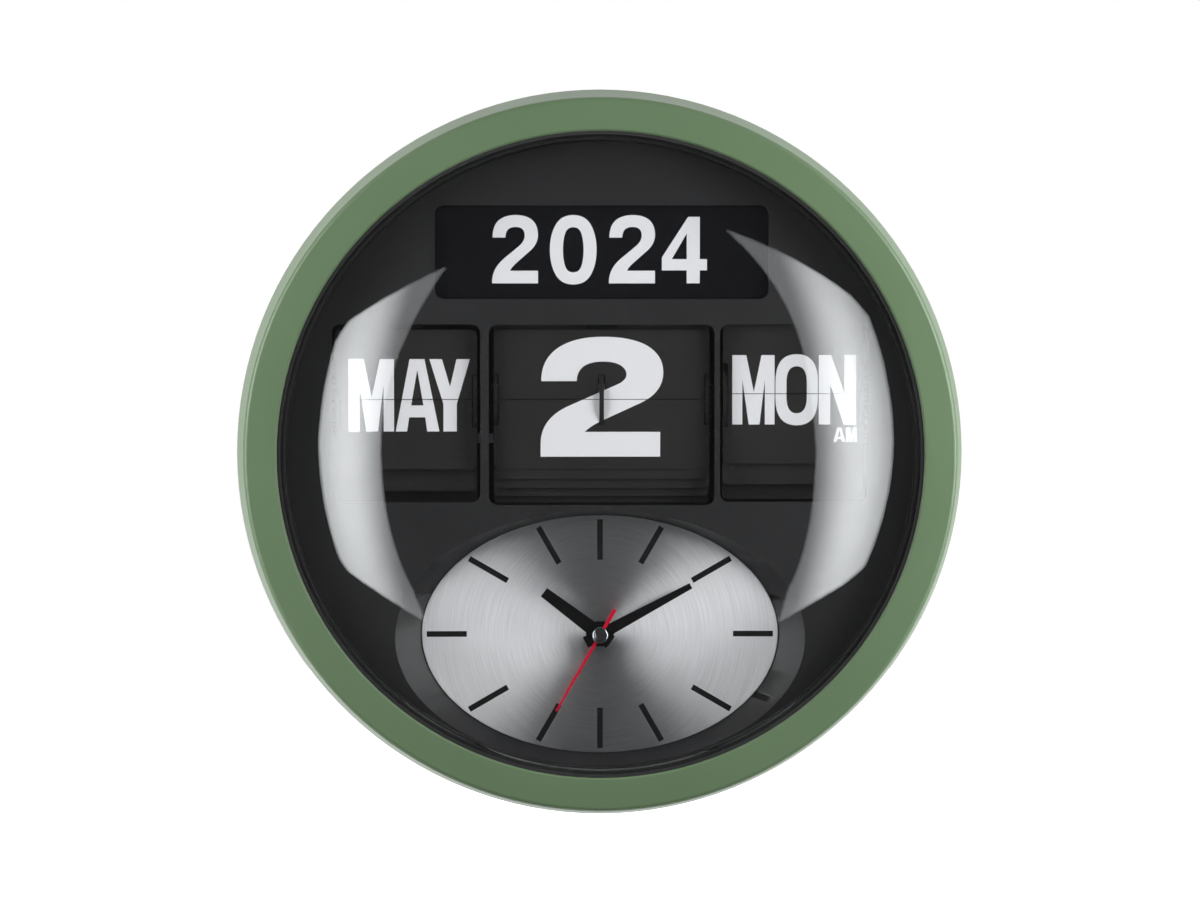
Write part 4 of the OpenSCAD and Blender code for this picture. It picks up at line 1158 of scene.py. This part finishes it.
class CLOCK_OT_lens(bpy.types.Operator):
    """Clear dome with its gasket and retainer"""

    bl_idname = "clock.lens"
    bl_label = "Lens"

    def execute(self, context):
        low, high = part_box("dome_lens")
        apex, back = -low.y / MM, -high.y / MM
        rim = high.x / MM
        inner_ball = BALL - DOME_WALL
        edge = math.degrees(math.acos(DOME_RADIUS / BALL))
        inner_edge = math.degrees(math.asin((BALL - DOME_RISE) / inner_ball))
        skirt = inner_ball * math.cos(math.radians(inner_edge))
        outside = arc(0, BALL_DEPTH, BALL, 90, edge, 96)
        inside = arc(0, BALL_DEPTH, inner_ball, inner_edge, 90, 96)
        profile = [
            (0.0, apex),
            *outside[1:],
            (DOME_RADIUS, back + FLANGE),
            (rim, back + FLANGE),
            (rim, back),
            (skirt, back),
            *inside[:-1],
            (0.0, apex - DOME_WALL),
        ]
        put(
            link("dome", revolved("dome", profile, 256)),
            body_name("dome_lens"),
            "acrylic",
            "dome_lens",
            slot="lens",
        )
        dressed("lens_gasket", "rubber", "gasket")
        dressed("lens_retainer", "black", "black_plastic")
        return {"FINISHED"}


class CLOCK_OT_face(bpy.types.Operator):
    """Grained black face plate with its windows and the well of the dial"""

    bl_idname = "clock.face"
    bl_label = "Face plate"

    def execute(self, context):
        dressed("face_plate", "face", "face_black", context.scene.clock_sizes.rim)
        dressed("year_card", "card", "card_black")
        paint("grey", "card_holder")
        figures = words("year_figures", YEAR, front("year_card"))
        put(link("year_figures", figures), body_name("year_card"), "white")
        return {"FINISHED"}


class CLOCK_OT_leaves(bpy.types.Operator):
    """Calendar leaves and what is printed on them"""

    bl_idname = "clock.leaves"
    bl_label = "Leaves"

    def execute(self, context):
        for unit in SHOWN:
            for part in ("upper_leaf", "lower_leaf", "leaf_stack"):
                dressed(f"{unit}_{part}", "leaf", "leaf_black", THIN_EDGE)
            self.print_unit(unit)
        dressed("leaf_catches", "hand", "hand_black", THIN_EDGE)
        paint("spring", "detent_springs")
        return {"FINISHED"}

    def print_unit(self, unit):
        """Both halves of what shows, and of what follows when the leaf has fallen."""
        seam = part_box(f"{unit}_upper_leaf")[0].z / MM + PIN
        upper, lower = f"{unit}_upper_leaf", f"{unit}_lower_leaf"
        fallen = LEAF_FRONT + LEAF_THICKNESS
        next_front = LEAF_FRONT - NEXT_LEAF
        prints = [
            ("shown_top", SHOWN[unit], LEAF_FRONT, True, upper),
            ("shown_bottom", SHOWN[unit], front(lower) - PIN, False, lower),
            ("next_top", NEXT[unit], next_front, True, f"{unit}_leaf_stack"),
            ("next_bottom", NEXT[unit], fallen, False, upper),
        ]
        for name, letters, depth, above, node in prints:
            cut = seam + (PLAY if above else -PLAY)
            mesh = half_of(words(f"{unit}_{name}", letters, depth), cut, above)
            if name == "next_bottom":
                axis = Vector((0, -LEAF_FRONT * MM, seam * MM))
                turn = Matrix.Rotation(math.pi, 4, "X")
                mesh.transform(Matrix.Translation(axis) @ turn @ Matrix.Translation(-axis))
            put(link(f"{unit}_{name}", mesh), body_name(node), "white")


class CLOCK_OT_dial(bpy.types.Operator):
    """Spun dial with its printed hour bars"""

    bl_idname = "clock.dial"
    bl_label = "Dial"

    def execute(self, context):
        sizes = context.scene.clock_sizes
        dressed("dial_plate", "dial", "dial_aluminium", edge=0.3)
        # Outer ends of the bars from the hands' axis, and their lengths, in mm, from
        # twelve to five; the rest repeat them half a turn on
        ends = [50.4, 54.3, 66.4, 76.2, 66.4, 54.3]
        lengths = [17.8, 18.4, 19.5, 17.6, 19.5, 18.4]
        depth = front("dial_plate") + sizes.ink / 2
        centre = Vector((0, -depth * MM, HANDS_AXIS.z))
        base = bpy.data.meshes.new("bars")
        spots = []
        for hour in range(12):
            turn = math.radians(30 * hour)
            reach = (ends[hour % 6] - lengths[hour % 6] / 2) * MM
            spots.append(
                centre + Vector((reach * math.sin(turn), 0, reach * math.cos(turn)))
            )
        base.from_pydata(spots, [], [])
        length = base.attributes.new("bar_length", "FLOAT", "POINT")
        length.data.foreach_set("value", [lengths[h % 6] * MM for h in range(12)])
        bars = run_tree(
            "hour_bars",
            base,
            bar_tree(),
            {
                "Centre": centre,
                "Width": sizes.bar_width * MM,
                "Thickness": sizes.ink * MM,
                "Ink": finish_of("bar"),
            },
        )
        put(bars, body_name("dial_plate"), None)
        return {"FINISHED"}


class CLOCK_OT_hands(bpy.types.Operator):
    """Hour, minute and second hand with the bright cap"""

    bl_idname = "clock.hands"
    bl_label = "Hands"

    def execute(self, context):
        dressed("hour_hand", "hand", "hand_black", THIN_EDGE)
        dressed("minute_hand", "hand", "hand_black", THIN_EDGE)
        dressed("second_hand", "red", "hand_red", edge=0.08)
        low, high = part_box("centre_cap")
        radius = (high.x - low.x) / 2 / MM
        top, seat = -low.y / MM, -high.y / MM
        # A rounded rim round a shallow dish
        rim, dish, dish_edge, dish_depth = 0.9, 1.5, 0.45, 0.5
        profile = [
            (0.0, seat),
            (radius, seat),
            *arc(radius - rim, top - rim, rim, 0, 110, 12),
            (radius - dish, top - dish_edge),
            (0.0, top - dish_depth),
        ]
        cap = revolved("cap", profile, 96, HANDS_AXIS.z / MM)
        put(
            link("cap", cap),
            body_name("centre_cap"),
            "chrome",
            "centre_cap",
            slot="cap_chrome",
        )
        return {"FINISHED"}


class CLOCK_OT_screws(bpy.types.Operator):
    """Cross-head screws of the case, lens, face plate and hanger"""

    bl_idname = "clock.screws"
    bl_label = "Screws"

    def execute(self, context):
        tree = screw_tree()
        head = 1.5 * MM
        for node in ("case_screws", "retainer_screws", "plate_screws", "hanger_screws"):
            forward = node != "hanger_screws"
            spots, lengths = [], []
            for low, high in islands(node):
                seat = high.y - head if forward else low.y + head
                spots.append(((low.x + high.x) / 2, seat, (low.z + high.z) / 2))
                lengths.append(high.y - low.y - head)
            base = bpy.data.meshes.new(node)
            base.from_pydata(spots, [], [])
            length = base.attributes.new("shank_length", "FLOAT", "POINT")
            length.data.foreach_set("value", lengths)
            piece = run_tree(
                f"{node}_finished",
                base,
                tree,
                {
                    "Turn": (math.radians(-90 if forward else 90), 0, 0),
                    "Metal": finish_of("zinc"),
                },
            )
            smooth(piece.data)
            put(piece, body_name(node), None, node, slot="plate_steel")
        return {"FINISHED"}


class CLOCK_OT_flip_frame(bpy.types.Operator):
    """Frame plates, rods, axle, drums and the wheels that turn them"""

    bl_idname = "clock.flip_frame"
    bl_label = "Flip frame"

    def execute(self, context):
        paint("zinc", "cross_rods", "drum_axle", "axle_clips", "calendar_motor")
        for side in ("left_side", "left_inner", "right_inner", "right_side"):
            paint("zinc", f"{side}_plate")
        for unit in ("month", "date", "weekday"):
            dressed(f"{unit}_drum", "black", "black_plastic")
        dressed("month_thumbwheel", "black", "black_plastic")
        dressed("weekday_thumbwheel", "black", "black_plastic")
        paint("brass", "motor_pinion")
        paint("black", "carry_wheel")
        return {"FINISHED"}


class CLOCK_OT_movement(bpy.types.Operator):
    """Quartz movement with its wheels, knob and cell"""

    bl_idname = "clock.movement"
    bl_label = "Movement"

    def execute(self, context):
        dressed("movement_case", "black", "black_plastic", edge=0.3)
        paint("black", "movement_cover")
        for wheel in ("centre", "minute", "hour", "second", "third"):
            paint("brass", f"{wheel}_wheel")
        dressed("fixing_nut", "hand", "hand_black", edge=0.15)
        paint("magnet", "rotor", "stator")
        paint("copper", "coil")
        paint("board", "circuit_board")
        dressed("set_knob", "grey", "grey_plastic", edge=0.2)
        dressed("battery_cell", "sleeve", "cell_sleeve", edge=0.6)
        paint("spring", "battery_contacts")
        return {"FINISHED"}


class CLOCK_OT_hanger(bpy.types.Operator):
    """Keyhole plate on the back"""

    bl_idname = "clock.hanger"
    bl_label = "Hanger"

    def execute(self, context):
        dressed("hanger_plate", "zinc", "plate_steel", edge=0.15)
        return {"FINISHED"}


# How the camera sees each softbox in the dome: its outline in pixels from the picture's
# upper left corner, with C as in the letters. It runs from the upper tip down the edge
# nearest to the case, and back up from the lower tip
SOFTBOXES = {
    "left": [
        (446, 266), (393, 290, C), (348, 321), (335, 341), (320, 392, C), (318, 444),
        (320, 508, C), (339, 559), (348, 572), (385, 599, C), (426, 623), (412, 590),
        (380, 531, C), (380, 446), (380, 360, C),
    ],
    "right": [
        (726, 229), (798, 254, C), (851, 295), (869, 316), (893, 376, C), (894, 443),
        (892, 510, C), (865, 567), (845, 584), (816, 602, C), (779, 623), (788, 592),
        (816, 540, C), (817, 448), (811, 394), (804, 296, C),
    ],
}


class CLOCK_OT_stage(bpy.types.Operator):
    """Camera, lamps, white surroundings and a pale floor"""

    bl_idname = "clock.stage"
    bl_label = "Stage"

    def execute(self, context):
        scene = context.scene
        scene.view_settings.view_transform = "Standard"
        camera = self.make_camera(scene)
        self.make_world(scene)
        self.make_floor()
        flag = bpy.data.collections.new("dome_flag")
        flag.objects.link(bpy.data.objects["dome"])
        flag.collection_objects[0].light_linking.link_state = "EXCLUDE"
        right, left = (0.72, -0.5, 0.17), (-0.72, -0.5, 0.17)
        self.make_lamp("side_lamp_right", right, power=7.4, flag=flag)
        self.make_lamp("side_lamp_left", left, power=5.5, flag=flag)
        self.make_softboxes(camera)
        return {"FINISHED"}

    def make_camera(self, scene):
        """The camera stands 2.2 m away, a little above and left of the clock."""
        data = bpy.data.cameras.new("camera")
        data.lens, data.sensor_width = 151, 36
        camera = bpy.data.objects.new("camera", data)
        scene.collection.objects.link(camera)
        turn, rise, distance = math.radians(-1), math.radians(2.3), 2.2177
        back = Vector(
            (
                math.sin(turn) * math.cos(rise),
                -math.cos(turn) * math.cos(rise),
                math.sin(rise),
            )
        )
        camera.location = Vector((0, -0.06, 0)) + back * distance
        camera.rotation_euler = (-back).to_track_quat("-Z", "Y").to_euler()
        scene.camera = camera
        return camera

    def make_world(self, scene):
        """White behind the clock and for the camera, dim in front of it, as in a dark
        studio whose only lamps stand at the sides."""
        world = bpy.data.worlds.new("studio")
        world.use_nodes = True
        tree = world.node_tree
        tree.nodes.clear()
        where = add(tree, "ShaderNodeTexCoord")
        parts = add(tree, "ShaderNodeSeparateXYZ", {0: where.outputs["Generated"]})
        depth = add(
            tree,
            "ShaderNodeMapRange",
            {
                "Value": parts.outputs["Y"],
                "From Min": -0.15,
                "From Max": 0.5,
                "To Min": 0.04,
                "To Max": 1.0,
            },
        )
        path = add(tree, "ShaderNodeLightPath")
        level = add(
            tree,
            "ShaderNodeMath",
            {0: depth.outputs[0], 1: path.outputs["Is Camera Ray"]},
            operation="MAXIMUM",
        )
        light = add(
            tree,
            "ShaderNodeBackground",
            {"Color": (1, 1, 1, 1), "Strength": level.outputs[0]},
        )
        add(tree, "ShaderNodeOutputWorld", {"Surface": light.outputs[0]})
        scene.world = world

    def make_floor(self):
        """A pale floor below and behind the clock. It glows white for the camera, mirrors
        and glass, and only hands the lamps' light on to the rest."""
        mesh = bpy.data.meshes.new("floor")
        near, far, side, down = -0.1, 6, 4, -0.6
        corners = [
            (-side, near, down),
            (side, near, down),
            (side, far, down),
            (-side, far, down),
        ]
        mesh.from_pydata(corners, [], [(0, 1, 2, 3)])
        material, tree = new_material("pale_floor")
        body = add(
            tree,
            "ShaderNodeBsdfPrincipled",
            {"Base Color": (0.9, 0.9, 0.9, 1), "Roughness": 0.9},
        )
        path = add(tree, "ShaderNodeLightPath")
        seen = add(
            tree,
            "ShaderNodeMath",
            {0: path.outputs["Is Camera Ray"], 1: path.outputs["Is Glossy Ray"]},
            operation="MAXIMUM",
        )
        seen = add(
            tree,
            "ShaderNodeMath",
            {0: seen.outputs[0], 1: path.outputs["Is Transmission Ray"]},
            operation="MAXIMUM",
        )
        glow = add(tree, "ShaderNodeEmission", {"Strength": seen.outputs[0]})
        both = add(
            tree, "ShaderNodeAddShader", {0: body.outputs[0], 1: glow.outputs[0]}
        )
        show(tree, both.outputs[0])
        mesh.materials.append(material)
        link("floor", mesh)

    def make_lamp(self, name, place, power, flag):
        """A soft lamp aimed at the clock, flagged off the dome so that it isn't mirrored."""
        data = bpy.data.lights.new(name, "AREA")
        data.shape = "RECTANGLE"
        data.size, data.size_y = 0.45, 0.6
        data.energy = power
        lamp = bpy.data.objects.new(name, data)
        bpy.context.scene.collection.objects.link(lamp)
        lamp.location = place
        aim = Vector((0, -0.05, 0)) - Vector(place)
        lamp.rotation_euler = aim.to_track_quat("-Z", "Y").to_euler()
        lamp.visible_camera = False
        lamp.light_linking.receiver_collection = flag

    def mirrored(self, camera, column, row, wall):
        """Where the line of sight through a pixel, mirrored in the dome, meets a wall at x."""
        width, height = PICTURE
        pixel = camera.data.sensor_width / camera.data.lens / width
        sight = Vector(((column - width / 2) * pixel, (height / 2 - row) * pixel, -1))
        sight.rotate(camera.rotation_euler)
        eye, centre = camera.location, Vector((0, -BALL_DEPTH * MM, 0))
        hits = intersect_line_sphere(eye, eye + sight, centre, BALL * MM, False)
        hit = min(hits, key=lambda point: (point - eye).length)
        away = sight.reflect(hit - centre)
        return intersect_line_plane(
            hit, hit + away, Vector((wall, 0, 0)), Vector((1, 0, 0))
        )

    def make_softboxes(self, camera):
        """The two tall softboxes that the dome mirrors, one at each side. Each is laid out
        so that the camera sees it in the dome as SOFTBOXES says."""
        for side, ahead in (("left", 0.59), ("right", 0.54)):
            wall = 1 if side == "right" else -1
            outline = [self.mirrored(camera, *at, wall) for at in drawn(SOFTBOXES[side])]
            mesh = bpy.data.meshes.new("softbox")
            order = list(range(len(outline)))
            mesh.from_pydata(outline, [], [order[::-wall]])
            mesh.materials.append(self.lit_cloth(ahead))
            box = link(f"softbox_{side}", mesh)
            box.visible_camera = False
            box.visible_diffuse = False
            box.visible_shadow = False

    def lit_cloth(self, ahead):
        """Cloth lit by a lamp behind it, ahead of the wall: dimmer towards its edges."""
        material, tree = new_material("softbox_cloth")
        at = add(tree, "ShaderNodeTexCoord")
        spot = add(
            tree,
            "ShaderNodeMapping",
            {
                "Vector": at.outputs["Object"],
                "Location": (0, ahead, 0),
                "Scale": (0, 1, 0.18),
            },
        )
        distance = add(
            tree, "ShaderNodeVectorMath", {0: spot.outputs[0]}, operation="LENGTH"
        )
        level = add(
            tree,
            "ShaderNodeMapRange",
            {
                "Value": distance.outputs["Value"],
                "From Max": 0.3,
                "To Min": 9.0,
                "To Max": 1.6,
            },
            interpolation_type="SMOOTHSTEP",
        )
        glow = add(
            tree,
            "ShaderNodeEmission",
            {"Color": (0.96, 0.985, 1, 1), "Strength": level.outputs[0]},
        )
        show(tree, glow.outputs[0])
        return material


class CLOCK_PT_panel(bpy.types.Panel):
    """Panel that lists the clock's parts"""

    bl_idname = "CLOCK_PT_panel"
    bl_label = "Flip wall clock"
    bl_space_type = "VIEW_3D"
    bl_region_type = "UI"
    bl_category = "Clock"

    def draw(self, context):
        for group in (context.scene.clock_sizes, context.scene.clock_tints):
            for key in type(group).__annotations__:
                self.layout.prop(group, key)
        for operator in OPERATORS:
            self.layout.operator(operator.bl_idname)


OPERATORS = (
    CLOCK_OT_case,
    CLOCK_OT_lens,
    CLOCK_OT_face,
    CLOCK_OT_leaves,
    CLOCK_OT_dial,
    CLOCK_OT_hands,
    CLOCK_OT_screws,
    CLOCK_OT_flip_frame,
    CLOCK_OT_movement,
    CLOCK_OT_hanger,
    CLOCK_OT_stage,
)
CLASSES = (ClockSizes, ClockTints, *OPERATORS, CLOCK_PT_panel)


def register():
    for cls in CLASSES:
        bpy.utils.register_class(cls)
    bpy.types.Scene.clock_sizes = PointerProperty(type=ClockSizes)
    bpy.types.Scene.clock_tints = PointerProperty(type=ClockTints)


def unregister():
    del bpy.types.Scene.clock_tints
    del bpy.types.Scene.clock_sizes
    for cls in reversed(CLASSES):
        bpy.utils.unregister_class(cls)


def main():
    """Builds everything in order."""
    register()
    bpy.ops.clock.case()
    bpy.ops.clock.lens()
    bpy.ops.clock.face()
    bpy.ops.clock.leaves()
    bpy.ops.clock.dial()
    bpy.ops.clock.hands()
    bpy.ops.clock.screws()
    bpy.ops.clock.flip_frame()
    bpy.ops.clock.movement()
    bpy.ops.clock.hanger()
    bpy.ops.clock.stage()


if __name__ == "__main__":
    main()
